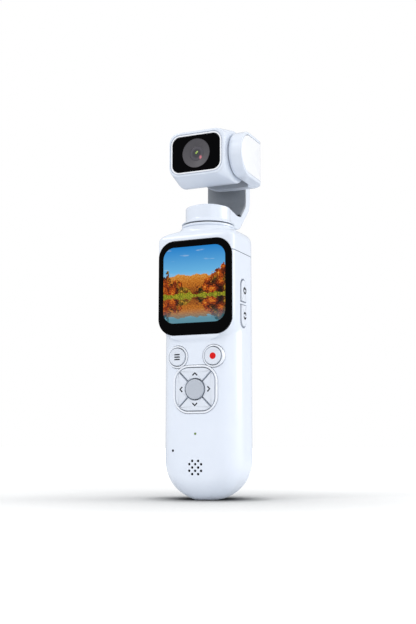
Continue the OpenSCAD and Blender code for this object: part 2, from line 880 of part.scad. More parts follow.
module pan_arm() color(white) difference() {
    union() {
        rod_z(pan_z, pan_top, pan_r);
        rod_z(pan_z, pan_z + pan_lip_h, pan_lip_r);
        rod_z(pan_z, pan_top + pan_disc_h, pan_disc_r);
        along_x(-arm_w / 2, arm_w / 2) polygon([[0, pan_z], [arm_foot_rear, pan_z], [arm_rear, arm_knee_out],
            [arm_rear, axis_z], [arm_face, axis_z], [arm_face, arm_knee_in + arm_cover_t - arm_skin],
            [arm_crook + arm_skin, arm_foot_top], [pan_r, arm_foot_top],
            [arm_ramp_y, pan_top - arm_ramp_drop], [0, pan_top - arm_ramp_drop]]);
        rod_y(arm_face, arm_rear, arm_w / 2, 0, axis_z);
    }
    rod_z(pan_z - overrun, pan_in_z, pan_r - pan_wall);
    rod_z(pan_in_z - overrun, pan_shaft_z, pan_shaft_r + fit_gap / 2);
    difference() {
        rod_y(arm_front, arm_floor, roll_bore_r, 0, axis_z);
        rod_y(arm_front, arm_floor + overrun, roll_post_r, 0, axis_z);
    }
    rod_y(arm_front, arm_floor, roll_bearing_r, 0, axis_z);
    at_slope() along_z(-arm_screw_l - seat_gap, 0) circle(r = arm_screw_r + fit_gap);
}

module arm_inner_cover() color(grey) difference() {
    union() {
        along_x(-arm_w / 2, arm_w / 2) polygon([[arm_crook, arm_foot_top], [arm_front, arm_knee_in],
            [arm_front, axis_z], [arm_face, axis_z], [arm_face, arm_knee_in + arm_cover_t - arm_skin],
            [arm_crook + arm_skin, arm_foot_top]]);
        rod_y(arm_front, arm_face, arm_w / 2, 0, axis_z);
    }
    rod_y(arm_front - overrun, arm_face + overrun, roll_bore_r, 0, axis_z);
    at_slope() {
        along_z(-arm_skin, overrun) circle(r = arm_screw_r + inlay_gap);
        along_z(-arm_screw_sink - arm_screw_head_t, overrun) circle(r = arm_screw_head_r + inlay_gap);
    }
}

module arm_screw() color(black) at_slope() {
    along_z(-arm_screw_l, -arm_screw_sink) circle(r = arm_screw_r);
    along_z(-arm_screw_sink - arm_screw_head_t, -arm_screw_sink) circle(r = arm_screw_head_r);
}

module roll_stator() color(metal)
    at_roll(roll_stator_y) core(roll_post_r + fit_gap, roll_stator_r, roll_stator_h);

module roll_coils() color(copper)
    at_roll(roll_stator_y) coils(roll_post_r, roll_stator_r, roll_stator_h);

module roll_bearings() color(metal)
    for (y = [arm_front + fit_gap, arm_floor - roll_bearing_h - fit_gap])
        at_roll(y) ring(roll_shaft_r + shaft_play, roll_bearing_r - fit_gap, roll_bearing_h);

module frame_form() intersection() {
    union() {
        along_x(frame_x, frame_out) translate([0, axis_z]) {
            circle(r = frame_r);
            polygon([[0, -frame_r], [frame_back, -frame_low], [frame_rear, -frame_low],
                [frame_rear, frame_r], [0, frame_r]]);
        }
        along_y(frame_back, frame_rear) translate([0, axis_z]) {
            circle(r = frame_back_r);
            polygon([[0, -frame_back_r], [frame_x, -frame_low], [frame_out, -frame_low],
                [frame_out, frame_r], [0, frame_r]]);
        }
    }
    along_z(0, 2 * axis_z) {
        translate([-frame_out, -frame_out]) square([2 * frame_out, frame_out + frame_rear - frame_rear_r]);
        translate([-frame_out, 0]) square([2 * frame_out - frame_rear_r, frame_rear]);
        translate([frame_out - frame_rear_r, frame_rear - frame_rear_r]) circle(r = frame_rear_r);
    }
}

module cap_outline(grow) translate([0, axis_z]) {
    r = frame_r - cap_in + grow;
    circle(r = r);
    translate([0, -r]) square([frame_rear - frame_rear_r + grow, 2 * r]);
}

module roll_frame() color(white) difference() {
    frame_form();
    difference() {
        rod_x(frame_x - overrun, web_x, tilt_bore_r, 0, axis_z);
        rod_x(tilt_post_x, web_x + overrun, tilt_post_r, 0, axis_z);
    }
    rod_x(frame_x - overrun, web_x, tilt_bearing_r, 0, axis_z);
    along_x(cap_x, frame_out + overrun) cap_outline(inlay_gap);
    rotor_screw_places() cylinder(h = frame_rear + overrun, r = screw_r + seat_gap);
    rotor_screw_places() translate([0, 0, frame_back - overrun])
        cylinder(h = overrun + screw_head_t, r = screw_head_r + seat_gap);
}

module rotor_screw_places() at_roll(0)
    for (i = [0:2]) rotate([0, 0, i * 120]) translate([rotor_screw_ring_r, 0, 0]) children();

module rotor_screws() color(metal) rotor_screw_places() {
    translate([0, 0, frame_back]) cylinder(h = screw_head_t, r = screw_head_r);
    translate([0, 0, frame_back]) cylinder(h = roll_disc_y - overrun - frame_back, r = screw_r);
}

module roll_rotor() color(grey) difference() {
    at_roll(frame_rear) cylinder(h = roll_disc_y - frame_rear, r = roll_disc_r);
    at_roll(frame_rear + overrun) cylinder(h = reach, r = roll_shaft_r + fit_gap / 2);
    rotor_screw_places() cylinder(h = roll_disc_y - overrun, r = screw_r + fit_gap);
}

module roll_magnet_ring() color("#4a4d52")
    at_roll(roll_disc_y)
        ring(roll_magnet_r - roll_magnet_t, roll_magnet_r, arm_floor - turn_gap - roll_disc_y);

module roll_shaft() color(metal)
    at_roll(frame_rear + overrun) cylinder(h = arm_floor - turn_gap - frame_rear - overrun, r = roll_shaft_r);

module frame_side_cap() color(white) along_x(cap_x, frame_out) cap_outline(0);

module tilt_stator() color(metal)
    at_tilt(tilt_stator_x) core(tilt_post_r + fit_gap, tilt_stator_r, tilt_stator_h);

module tilt_coils() color(copper)
    at_tilt(tilt_stator_x) coils(tilt_post_r, tilt_stator_r, tilt_stator_h);

module tilt_bearings() color(metal)
    for (x = [tilt_post_x, web_x - tilt_bearing_h - fit_gap])
        at_tilt(x) ring(tilt_shaft_r + shaft_play, tilt_bearing_r - fit_gap, tilt_bearing_h);

module tilt_rotor() color(grey) difference() {
    at_tilt(cam_half) cylinder(h = tilt_disc_x - cam_half, r = tilt_disc_r);
    at_tilt(cam_half - overrun) cylinder(h = reach, r = tilt_shaft_r + fit_gap / 2);
}

module tilt_magnet_ring() color("#4a4d52")
    at_tilt(tilt_disc_x) ring(tilt_magnet_r - tilt_magnet_t, tilt_magnet_r, web_x - turn_gap - tilt_disc_x);

module tilt_shaft() color(metal)
    at_tilt(cam_half) cylinder(h = web_x - turn_gap - cam_half, r = tilt_shaft_r);

// Outer form of the camera, t inside its surface: a flat front that swells into a round back
module camera_form(t) hull() {
    translate([0, 0, axis_z]) along_y(t - cam_front, t - cam_front + cam_skin)
        soft_rect(cam_w - 2 * t, cam_h - 2 * t, cam_corner_r - t, $fn = 32);
    rod_x(t + cam_end - cam_half, cam_half - cam_end - t, cam_r - t, 0, axis_z, $fn = 48);
    rod_x(t - cam_half, cam_half - t, cam_r - cam_end - t, 0, axis_z, $fn = 48);
}

module camera_shell() difference() {
    camera_form(0);
    camera_form(cam_wall);
    translate([0, 0, axis_z]) {
        along_y(-cam_front - overrun, glass_seat - cam_front)
            soft_rect(window_w + 2 * inlay_gap, window_h + 2 * inlay_gap, window_r);
        along_y(-cam_front, cam_wall - cam_front + overrun)
            soft_rect(window_w - 2 * window_ledge, window_h - 2 * window_ledge, window_r - window_ledge);
    }
}

module camera_front_shell() color(white) intersection() {
    camera_shell();
    block([-reach, reach], [-reach, cam_split], [0, 2 * axis_z]);
}

module camera_rear_shell() color(white) {
    intersection() {
        camera_shell();
        block([-reach, reach], [cam_split, reach], [0, 2 * axis_z]);
    }
    for (sx = [-1, 1], sz = [-1, 1])
        rod_y(0, cam_r * cam_post_share, cam_post_r, sx * cam_post_x, axis_z + sz * cam_post_z);
}

module camera_window() color([0.08, 0.08, 0.09, 0.6])
    translate([0, 0, axis_z]) along_y(-cam_front, glass_seat - cam_front)
        soft_rect(window_w, window_h, window_r);

module lens_barrel() color(black) difference() {
    union() {
        rod_y(lens_y, -lens_back, lens_r, 0, axis_z);
        translate([0, 0, axis_z]) block([-lens_base_w / 2, lens_base_w / 2], [-lens_back - sensor_t,
            -sensor_board_t], [-lens_base_w / 2, lens_base_w / 2]);
    }
    rod_y(lens_y - overrun, -lens_back - sensor_t, lens_bore_r, 0, axis_z);
    translate([0, 0, axis_z]) block([-sensor_w / 2 - seat_gap, sensor_w / 2 + seat_gap],
        [-reach, overrun], [-sensor_h / 2 - seat_gap, sensor_h / 2 + seat_gap]);
}

module lens(y) {
    r = lens_bore_r - fit_gap;
    big = (r * r + lens_bulge * lens_bulge) / (2 * lens_bulge);
    translate([0, y, axis_z]) rotate([-90, 0, 0]) rotate_extrude() intersection() {
        translate([0, big]) circle(r = big);
        square([r, lens_t]);
    }
}

module lens_elements() color([0.3, 0.35, 0.4, 0.6]) {
    for (i = [0:2]) lens(lens_y + i * lens_step);
}

module image_sensor() color("#2c4a6b") translate([0, 0, axis_z])
    block([-sensor_w / 2, sensor_w / 2], [-sensor_board_t - sensor_t, -sensor_board_t],
        [-sensor_h / 2, sensor_h / 2]);

module sensor_board() color(board_green) translate([0, 0, axis_z])
    block([-sensor_board_w / 2, sensor_board_w / 2], [-sensor_board_t, 0],
        [-sensor_board_h / 2, sensor_board_h / 2]);

front_casing();
rear_cover();
top_cover();
screen_glass();
display_panel();
main_board();
key_board();
dome_switches();
battery();
battery_tray();
tray_screws();
speaker_driver();
microphone();
led_light_pipe();
usb_port();
card_reader();
side_key_board();
tripod_insert();
mode_button();
record_button();
up_key();
down_key();
left_key();
right_key();
center_key();
power_button();
function_button();
pan_stator();
pan_coils();
pan_bearings();
pan_arm();
pan_shaft();
pan_magnet_ring();
arm_inner_cover();
arm_screw();
roll_stator();
roll_coils();
roll_bearings();
roll_frame();
roll_rotor();
roll_magnet_ring();
roll_shaft();
rotor_screws();
frame_side_cap();
tilt_stator();
tilt_coils();
tilt_bearings();
camera_front_shell();
camera_rear_shell();
camera_window();
lens_barrel();
lens_elements();
image_sensor();
sensor_board();
tilt_rotor();
tilt_magnet_ring();
tilt_shaft();
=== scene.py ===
# Looks and fine shapes of a pocket camera on a three-axis gimbal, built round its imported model.
# Lengths here are millimetres; makeObject turns them into metres.
import json
import bmesh
import bpy
import numpy as np
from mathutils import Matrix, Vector

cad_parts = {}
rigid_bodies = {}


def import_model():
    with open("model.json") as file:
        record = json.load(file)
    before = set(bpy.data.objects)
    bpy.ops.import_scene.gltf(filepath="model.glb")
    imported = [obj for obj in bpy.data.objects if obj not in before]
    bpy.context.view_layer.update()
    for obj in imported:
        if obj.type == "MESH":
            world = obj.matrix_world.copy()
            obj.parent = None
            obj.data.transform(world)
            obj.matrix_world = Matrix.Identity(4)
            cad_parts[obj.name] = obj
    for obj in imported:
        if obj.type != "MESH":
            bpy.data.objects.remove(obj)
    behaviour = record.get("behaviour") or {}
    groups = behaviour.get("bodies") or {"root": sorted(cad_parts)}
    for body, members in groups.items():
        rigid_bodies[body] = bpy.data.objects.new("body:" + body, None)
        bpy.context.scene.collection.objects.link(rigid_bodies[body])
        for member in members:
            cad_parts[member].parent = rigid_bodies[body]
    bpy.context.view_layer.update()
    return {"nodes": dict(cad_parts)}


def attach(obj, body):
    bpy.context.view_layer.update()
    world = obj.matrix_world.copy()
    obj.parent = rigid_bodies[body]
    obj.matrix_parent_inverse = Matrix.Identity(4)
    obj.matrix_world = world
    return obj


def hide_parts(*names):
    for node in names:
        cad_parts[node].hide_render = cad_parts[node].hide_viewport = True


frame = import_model()
mm = 0.001
print("frame loaded with", len(frame["nodes"]), "nodes")


# A dictionary whose entries also read as attributes
class Settings(dict):
    __getattr__ = dict.__getitem__


# sRGB hex to linear light: c / 12.92 in the dark, ((c + 0.055) / 1.055) ^ 2.4 above
def linearColour(hexText):
    c = np.array([int(hexText[i:i + 2], 16) for i in (1, 3, 5)]) / 255
    return (*np.where(c < 0.04045, c / 12.92, ((c + 0.055) / 1.055) ** 2.4), 1.0)


# One node with its settings, its plain values and its links; stops are a colour ramp's, from low to high
def addNode(tree, kind, inputs=None, **settings):
    node = tree.nodes.new(kind)
    for name, value in settings.items():
        setattr(node, name, value)
    for key, value in (inputs or {}).items():
        if key == "stops":
            marks = node.color_ramp.elements
            for mark, (spot, colour) in zip(list(marks), (value[0], value[-1])):
                mark.position, mark.color = spot, linearColour(colour)
            for spot, colour in value[1:-1]:
                marks.new(spot).color = linearColour(colour)
        elif isinstance(value, bpy.types.NodeSocket):
            tree.links.new(value, node.inputs[key])
        else:
            node.inputs[key].default_value = value
    return node


# What makes a row of addRows: the kind of node, the inputs that its values go to, the output that counts, and
# its settings. Any other word is the operation of a Math node.
nodeKinds = {
    "pair": ("ShaderNodeCombineXYZ", (0, 1), 0, {}),
    "noise": ("ShaderNodeTexNoise", ("Vector", "Scale", "Detail"), 0, {}),
    "cells": ("ShaderNodeTexVoronoi", ("Vector", "Scale", "Smoothness"), 0, {"feature": "SMOOTH_F1"}),
    "step": ("ShaderNodeMapRange", (0, 1, 2), 0, {"interpolation_type": "SMOOTHSTEP"}),
    "ramp": ("ShaderNodeValToRGB", (0, "stops"), 0, {}),
    "mix": ("ShaderNodeMix", (0, 6, 7), 2, {"data_type": "RGBA"}),
    "minus": ("ShaderNodeVectorMath", (0, 1), 0, {"operation": "SUBTRACT"}),
    "times": ("ShaderNodeVectorMath", (0, 1), 0, {"operation": "MULTIPLY"}),
    "length": ("ShaderNodeVectorMath", (0,), "Value", {"operation": "LENGTH"}),
}


# Adds rows of a name, what makes it, and values: numbers, sRGB hex colours or names of earlier sockets
def addRows(tree, made, rows):
    for name, maker, *values in rows:
        sums = ("ShaderNodeMath", (0, 1, 2), 0, {"operation": maker})
        kind, inputs, output, settings = nodeKinds.get(maker, sums)
        values = [(linearColour(v) if v[0] == "#" else made[v]) if isinstance(v, str) else v for v in values]
        made[name] = addNode(tree, kind, dict(zip(inputs, values)), **settings).outputs[output]
    return made


# A new material with values on its shader's own sockets, and the place on the object that its pattern reads
def startFinish(name, sockets):
    material = bpy.data.materials.new(name)
    material.use_nodes = True
    tree = material.node_tree
    shader = tree.nodes["Principled BSDF"]
    for key, value in sockets.items():
        shader.inputs[key].default_value = value
    return material, tree, shader, addNode(tree, "ShaderNodeTexCoord").outputs["Object"]


# A finish with cloudy colour, uneven gloss and a fine relief, all from one noise whose grain is given in mm
def cloudyFinish(name, light, dark, gloss, grain, relief, sockets, stretch=(1, 1, 1)):
    material, tree, shader, place = startFinish(name, sockets)
    spot = addNode(tree, "ShaderNodeMapping", {"Vector": place, "Scale": stretch}).outputs["Vector"]
    made = addRows(tree, {"spot": spot}, [("level", "noise", "spot", 1 / (grain * mm), 4.0),
                                          ("tint", "mix", "level", light, dark)])
    tree.links.new(made["tint"], shader.inputs["Base Color"])
    level = made["level"]
    rough = addNode(tree, "ShaderNodeMapRange", {"Value": level, "To Min": gloss[0], "To Max": gloss[1]})
    tree.links.new(rough.outputs["Result"], shader.inputs["Roughness"])
    if relief:
        bump = addNode(tree, "ShaderNodeBump", {"Height": level, "Strength": 0.4, "Distance": relief * mm})
        tree.links.new(bump.outputs["Normal"], shader.inputs["Normal"])
    return material


# Each row: the real material, its two colours, least and most roughness, grain and relief in mm, the
# shader's own sockets and, where the grain runs one way, how much finer it is along each axis
satin, polished = {"IOR": 1.5}, {"IOR": 1.58, "Coat Weight": 0.4, "Coat Roughness": 0.05}
finishRows = {
    # gloss moulded shells: bright, faintly blue, with a soft reflection that wavers a little
    "shell": ("moulded_white_polycarbonate", "#e9eff8", "#e4ebf5", (0.2, 0.27), 6, 0.004,
              {"IOR": 1.58, "Coat Weight": 0.25, "Coat Roughness": 0.08}),
    # key tops: a touch greyer and duller than the shell
    "key": ("satin_moulded_keys", "#e3e8f0", "#dde3eb", (0.34, 0.42), 0.8, 0.006, satin),
    # the grey centre key: satin paint with a fine grain; also painted shade on side key skirts and the plate's
    # band
    "centreKey": ("satin_grey_paint_and_painted_shade", "#bfc5cd", "#b6bcc5", (0.38, 0.46), 0.5, 0.006, satin),
    # cover inside the arm: dull dark grey with the mould's fine spark texture
    "armCover": ("spark_textured_grey_plastic", "#8d9196", "#7f8388", (0.45, 0.56), 0.3, 0.02, satin),
    # the roll frame's plate behind the camera: the same dull moulding, its grey painted shade from the camera
    "plate": ("spark_textured_grey_painted_shade", "#a8acb1", "#9da1a7", (0.45, 0.56), 0.3, 0.02, satin),
    # rings round the keys: polished, whiter and brighter than the shell
    "rim": ("polished_white_moulding", "#f3f6fb", "#eef2f8", (0.12, 0.18), 3, 0.0, polished),
    # the side cap and the window's bezel: the same moulding, pure white
    "cap": ("polished_pure_white_moulding", "#fdfdfe", "#fafbfd", (0.12, 0.18), 3, 0.0, polished),
    # woven dust mesh behind the sound holes: black and dull
    "mesh": ("black_dust_mesh", "#0c0d0f", "#070809", (0.85, 0.95), 0.2, 0.02, {"Specular IOR Level": 0.1}),
    # the roll and tilt rotors: soft grey metal, blasted even
    "rotor": ("bead_blasted_aluminium", "#8f9499", "#82878c", (0.42, 0.5), 0.2, 0.01, {"Metallic": 0.6}),
    # cover glass with black print behind: deep black under a sharp reflection
    "glass": ("black_printed_glass", "#010102", "#020203", (0.05, 0.09), 12, 0.0,
              {"IOR": 1.52, "Specular IOR Level": 0.03}),
    # lens hood plate: dark satin paint, a warm grey under the window
    "lensPlate": ("dark_satin_lens_paint", "#4d4a4e", "#454246", (0.4, 0.5), 0.6, 0.01, satin),
    # dark rings in the gaps, as painted shade: dark, nearly no reflection
    "gapShade": ("dark_gap_painted_shade", "#3c4047", "#2d3036", (0.85, 0.95), 0.2, 0.02, {}),
    # printed symbols: matt dark ink
    "ink": ("dark_grey_ink", "#1d2025", "#16181c", (0.6, 0.7), 0.3, 0.0, {"Specular IOR Level": 0.2}),
    # record mark: gloss red lacquer
    "recordRed": ("red_lacquer", "#e30c08", "#d30a06", (0.25, 0.32), 0.4, 0.0,
                  {"IOR": 1.5, "Specular IOR Level": 0.2}),
    # light pipe: olive-green tinted acrylic, unlit
    "lightPipe": ("green_acrylic", "#6f8f2a", "#5f7d22", (0.2, 0.3), 0.4, 0.0, {"IOR": 1.49}),
    # shafts, screws and bearing races: bright with fine turning marks along one way
    "steel": ("turned_steel", "#c6cad0", "#a9aeb6", (0.22, 0.34), 0.12, 0.004, {"Metallic": 1.0}, (1, 1, 12)),
    # the arm's small screw: near black, faintly metallic
    "blackScrew": ("black_oxide_screw", "#17181b", "#0e0f11", (0.35, 0.5), 0.15, 0.01, {"Metallic": 0.7}),
    # coils: enamelled wire wound close, so the gloss runs in lines
    "copper": ("enamelled_copper", "#b9713a", "#a05a28", (0.25, 0.35), 0.15, 0.02, {"Metallic": 0.9},
               (1, 1, 8)),
    # magnet rings: smooth warm grey plating
    "magnet": ("nickel_plated_magnet", "#8d9097", "#7c7f86", (0.2, 0.3), 0.3, 0.003, {"Metallic": 1.0}),
    # circuit boards: green lacquer over traces that show as faint relief
    "board": ("green_solder_mask", "#1f5e3f", "#174a31", (0.3, 0.42), 0.7, 0.01, satin),
    # pouch cell: dark foil with broad soft creases
    "battery": ("wrapped_battery_foil", "#4a5059", "#3b4048", (0.35, 0.5), 2.5, 0.03, {"Metallic": 0.4}),
    # tripod insert: yellow metal with turning marks
    "brass": ("machined_brass", "#c2a05f", "#ac8a4b", (0.25, 0.35), 0.15, 0.005, {"Metallic": 1.0},
              (1, 1, 10)),
    # lens barrel and speaker: black anodised metal, fine and dull
    "blackPart": ("black_anodised_barrel", "#1a1b1f", "#111215", (0.4, 0.5), 0.2, 0.01, {"Metallic": 0.5}),
    # image sensor: a dark mirror that shades from blue to violet
    "sensor": ("image_sensor_silicon", "#2c4a6b", "#3a3560", (0.12, 0.2), 1.2, 0.0, {"Metallic": 0.5}),
    # lens elements: dark, glossy and coated
    "lens": ("coated_optical_glass", "#20272c", "#1a2126", (0.02, 0.05), 2.0, 0.0,
             {"IOR": 1.7, "Coat Weight": 1.0, "Coat Roughness": 0.01}),
}
finish = {key: cloudyFinish(*row) for key, row in finishRows.items()}
print("finishes made:", len(finish))


# Quads of a grid whose columns close into rings and whose rows run along the form
def ringQuads(rows, columns):
    i, j = np.meshgrid(np.arange(rows - 1), np.arange(columns), indexing="ij")
    a = i * columns + j
    b = i * columns + (j + 1) % columns
    return np.stack([a, b, b + columns, a + columns], -1).reshape(-1, 4)


# Rings joined one to the next; each end closes in a pole at its ring's middle
def loft(rings):
    rows, columns = rings.shape[:2]
    points = np.concatenate([rings.reshape(-1, 3), rings[:1].mean(1), rings[-1:].mean(1)])
    j = np.arange(columns)
    after = (j + 1) % columns
    last = (rows - 1) * columns
    start = np.stack([after, j, np.full(columns, rows * columns)], -1)
    end = np.stack([last + j, last + after, np.full(columns, rows * columns + 1)], -1)
    return points, ringQuads(rows, columns).tolist() + start.tolist() + end.tolist()


# Rings joined one to the next and the last to the first, as in a closed hoop
def hoop(rings):
    rows, columns = rings.shape[:2]
    return rings.reshape(-1, 3), (ringQuads(rows + 1, columns) % (rows * columns)).tolist()


# Several closed forms as one list of points and faces
def together(*forms):
    points, faces, count = [], [], 0
    for formPoints, formFaces in forms:
        points.append(formPoints)
        faces += [[v + count for v in face] for face in formFaces]
        count += len(formPoints)
    return np.concatenate(points), faces


# Points of a circle round the origin: r cos a across and r sin a up
def onCircle(r, a):
    return np.stack([r * np.cos(a), r * np.sin(a)], -1)


# A whole circle of evenly spaced points round (x, y)
def circleOutline(x, y, r, count=48):
    return onCircle(r, np.linspace(0, 2 * np.pi, count, endpoint=False)) + [x, y]


# A box with four round corners as one closed ring: corner k turns from (k - 1) * 90 degrees round its own
# centre, and straight runs join the corners; r0 is the radius of the two corners at y0, r1 of those at y1
def roundedRing(x0, x1, y0, y1, r0, r1=None, arc=14, run=6):
    sizes = [np.asarray(v, float)[..., None] for v in (x0, x1, y0, y1, r0, r0 if r1 is None else r1)]
    x0, x1, y0, y1, r0, r1 = np.broadcast_arrays(*sizes)
    centres = [(x1 - r0, y0 + r0, r0), (x1 - r1, y1 - r1, r1), (x0 + r1, y1 - r1, r1), (x0 + r0, y0 + r0, r0)]
    turn = np.linspace(0, np.pi / 2, arc)
    arcs = [onCircle(r, turn + (k - 1) * np.pi / 2) + np.stack([x, y], -1)
            for k, (x, y, r) in enumerate(centres)]
    share = np.linspace(0, 1, run + 2)[1:-1, None]
    parts = []
    for here, after in zip(arcs, arcs[1:] + arcs[:1]):
        start, end = here[..., -1:, :], after[..., :1, :]
        parts += [here, start + (end - start) * share]
    return np.concatenate(parts, -2)


# The same by the box's middle, half sizes and one corner radius
def boxOutline(x, y, halfX, halfY, corner):
    return roundedRing(x - halfX, x + halfX, y - halfY, y + halfY, corner)


# A flat outline set at a level: seen from above, from the front or from the side
def onPlane(outline, level, plane):
    u, v = outline[..., 0], outline[..., 1]
    w = np.broadcast_to(np.asarray(level, float), u.shape)
    return np.stack({"plan": [u, v, w], "front": [u, w, v], "side": [w, u, v]}[plane], -1)


# A straight bar of one outline between two levels
def prism(outline, start, end, plane):
    return loft(np.stack([onPlane(outline, start, plane), onPlane(outline, end, plane)]))


# A straight round bar
def roundBar(x, y, r, start, end, plane, count=72):
    return prism(circleOutline(x, y, r, count), start, end, plane)


# An outline drawn in by s along its own normals, which are the turned tangents of its neighbours
def drawnIn(outline, s):
    tangent = np.roll(outline, -1, 0) - np.roll(outline, 1, 0)
    normal = np.stack([-tangent[:, 1], tangent[:, 0]], -1)
    normal /= np.linalg.norm(normal, axis=1, keepdims=True)
    area = np.sum(outline[:, 0] * np.roll(outline[:, 1], -1) - outline[:, 1] * np.roll(outline[:, 0], -1))
    return outline + np.sign(area) * normal * s


# A plate of one outline with a rounded or stepped edge: steps are pairs of draw-in and level
def steppedPlate(outline, steps, plane):
    return loft(np.stack([onPlane(drawnIn(outline, s), level, plane) for s, level in steps]))


# A ring of one rounded profile carried round a closed outline: profile pairs are (outwards, level)
def hoopAlong(outline, profile, plane):
    return hoop(np.stack([onPlane(drawnIn(outline, -out), level, plane) for out, level in profile]))


# A turned form: a profile of (radius, height) pairs carried round the axis, which is at the origin along +Z
def turnedForm(profile, count=96):
    r, z = np.array(profile, float).T
    a = np.linspace(0, 2 * np.pi, count, endpoint=False)
    x, y = np.outer(r, np.cos(a)), np.outer(r, np.sin(a))
    return loft(np.stack([x, y, np.repeat(z[:, None], count, 1)], -1))


# A turned form laid with its axis along -Y, at (x, z); its profile heights count towards the front
def turnedToFront(profile, x, z, count=72):
    points, faces = turnedForm(profile, count)
    return np.stack([points[:, 0] + x, -points[:, 2], points[:, 1] + z], -1), faces


# A quarter of an ellipse from (x0, y0) to (x1, y1): it leaves along x if flat, else along y
def quarter(x0, y0, x1, y1, flat=True, count=7):
    a = np.linspace(0, np.pi / 2, count)
    u, v = (np.sin(a), 1 - np.cos(a)) if flat else (1 - np.cos(a), np.sin(a))
    return np.stack([x0 + (x1 - x0) * u, y0 + (y1 - y0) * v], -1).tolist()


# A line as one thin closed ribbon: its points move half the width to both sides, at two levels
def strokeForm(path, width, start, end, plane):
    path = np.asarray(path, float)
    tangent = np.gradient(path, axis=0)
    side = np.stack([-tangent[:, 1], tangent[:, 0]], -1)
    side *= width / 2 / np.linalg.norm(side, axis=1, keepdims=True)
    left, right = path + side, path - side
    corners = [(left, start), (right, start), (right, end), (left, end)]
    return loft(np.stack([onPlane(line, level, plane) for line, level in corners], 1))


# Merges doubles, drops slivers, closes small holes and turns the faces outwards; edges over an angle stay
# sharp
def tidyMesh(mesh, sharp):
    work = bmesh.new()
    work.from_mesh(mesh)
    bmesh.ops.remove_doubles(work, verts=work.verts, dist=0.002 * mm)
    bmesh.ops.dissolve_degenerate(work, edges=work.edges, dist=0.0005 * mm)
    bmesh.ops.holes_fill(work, edges=[edge for edge in work.edges if edge.is_boundary], sides=4)
    bmesh.ops.recalc_face_normals(work, faces=work.faces)
    work.to_mesh(mesh)
    work.free()
    mesh.shade_smooth()
    mesh.set_sharp_from_angle(angle=np.radians(sharp))


# A closed form as an object at the origin, with its place in its mesh
def makeObject(name, form, sharp=32):
    points, faces = form
    mesh = bpy.data.meshes.new(name)
    mesh.from_pydata((np.asarray(points) * mm).tolist(), [], faces)
    tidyMesh(mesh, sharp)
    piece = bpy.data.objects.new(name, mesh)
    bpy.context.scene.collection.objects.link(piece)
    return piece


# Takes the tools' volume out of a piece, adds it or keeps what they share, and leaves a plain mesh
def carve(piece, *tools, how="DIFFERENCE"):
    made = [makeObject("tool", tool) for tool in tools]
    for tool in made:
        cut = piece.modifiers.new("cut", "BOOLEAN")
        cut.operation, cut.solver, cut.object = how, "EXACT", tool
    bpy.context.view_layer.update()
    piece.data = bpy.data.meshes.new_from_object(piece.evaluated_get(bpy.context.evaluated_depsgraph_get()))
    piece.modifiers.clear()
    for tool in made:
        bpy.data.objects.remove(tool)
    tidyMesh(piece.data, 32)


# Gives a piece its finish, the body that it rides on and the nodes that it stands for
def dress(piece, look, body, replaces=()):
    piece.data.materials.clear()
    piece.data.materials.append(finish[look])
    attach(piece, body)
    if replaces:
        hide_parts(*replaces)
    return piece


# A closed form made an object and dressed
def addPiece(name, form, look, body, replaces=(), sharp=32):
    return dress(makeObject(name, form, sharp), look, body, replaces)


handle = Settings(
    halfWidth=14.2, front=10.55, rear=12.0, corner=8.3, wall=1.5, footRound=14.1, footCut=0.6, footCorner=0.35,
    podFront=11.3, podBottom=52.3, podEdge=1.6, podCorner=6.4, ledge=2.0, ledgeBand=(52.0, 64.6),
    sideBlend=5.0, sideEarly=0.4, seam=83.4, seamGap=0.13, coverY=8.6, coverZ=14.0, coverGap=0.05)


# The handle at heights z, t inside its surface. Above the foot it is a box with round upright corners. In
# the foot the sides follow a circle of radius footRound seen from the front, and front and back one of
# radius corner seen from the side. The front morphs to the boxier screen housing where it passes the
# housing's rounded edge.
def handleRings(z, t):
    fall = np.maximum(handle.footRound - handle.footCut - z, 0)
    half = handle.halfWidth - handle.footRound + np.sqrt((handle.footRound - t) ** 2 - fall ** 2)
    fall = np.maximum(handle.corner - handle.footCut - z, 0)
    inset = handle.corner - np.sqrt((handle.corner - t) ** 2 - fall ** 2)
    corner = np.minimum(handle.corner - inset + handle.footCorner * (inset - t), half * 0.97)
    grip = roundedRing(-half, half, inset - handle.front, handle.rear - inset, corner)
    edge = max(handle.podEdge - t, 0.3)
    pod = roundedRing(-half, half, t - handle.podFront, handle.rear - t, edge, handle.corner - t)
    size = handle.podCorner
    reach = np.clip(np.abs(pod[..., 0]) - (handle.halfWidth - t - size), 0, size)
    start = handle.podBottom + size - np.sqrt(size ** 2 - reach ** 2)
    more = handle.sideBlend * (reach / size) ** 3
    share = np.clip((z[:, None] - start + handle.sideEarly * more) / (handle.ledge + more), 0, 1)
    share = (share * share * (3 - 2 * share))[..., None]
    return onPlane(grip * (1 - share) + pod * share, z[:, None], "plan")


# Levels close up in the foot and round the ledge; the inner wall's are the same ones squeezed above the floor
footTop = handle.footRound - handle.footCut
shellTop = handle.seam - handle.seamGap
ledgeLow, ledgeHigh = handle.ledgeBand
outerLevels = np.concatenate([
    footTop * (1 - np.cos(np.linspace(0, np.pi / 2, 22))), np.linspace(footTop, ledgeLow, 10)[1:],
    np.linspace(ledgeLow, ledgeHigh, 84)[1:], np.linspace(ledgeHigh, shellTop, 8)[1:]])
innerLevels = handle.wall + outerLevels * (shellTop - handle.wall) / shellTop
casing = makeObject("casing_shell", loft(np.concatenate([
    handleRings(outerLevels, 0.0), handleRings(innerLevels, handle.wall)[::-1]])))

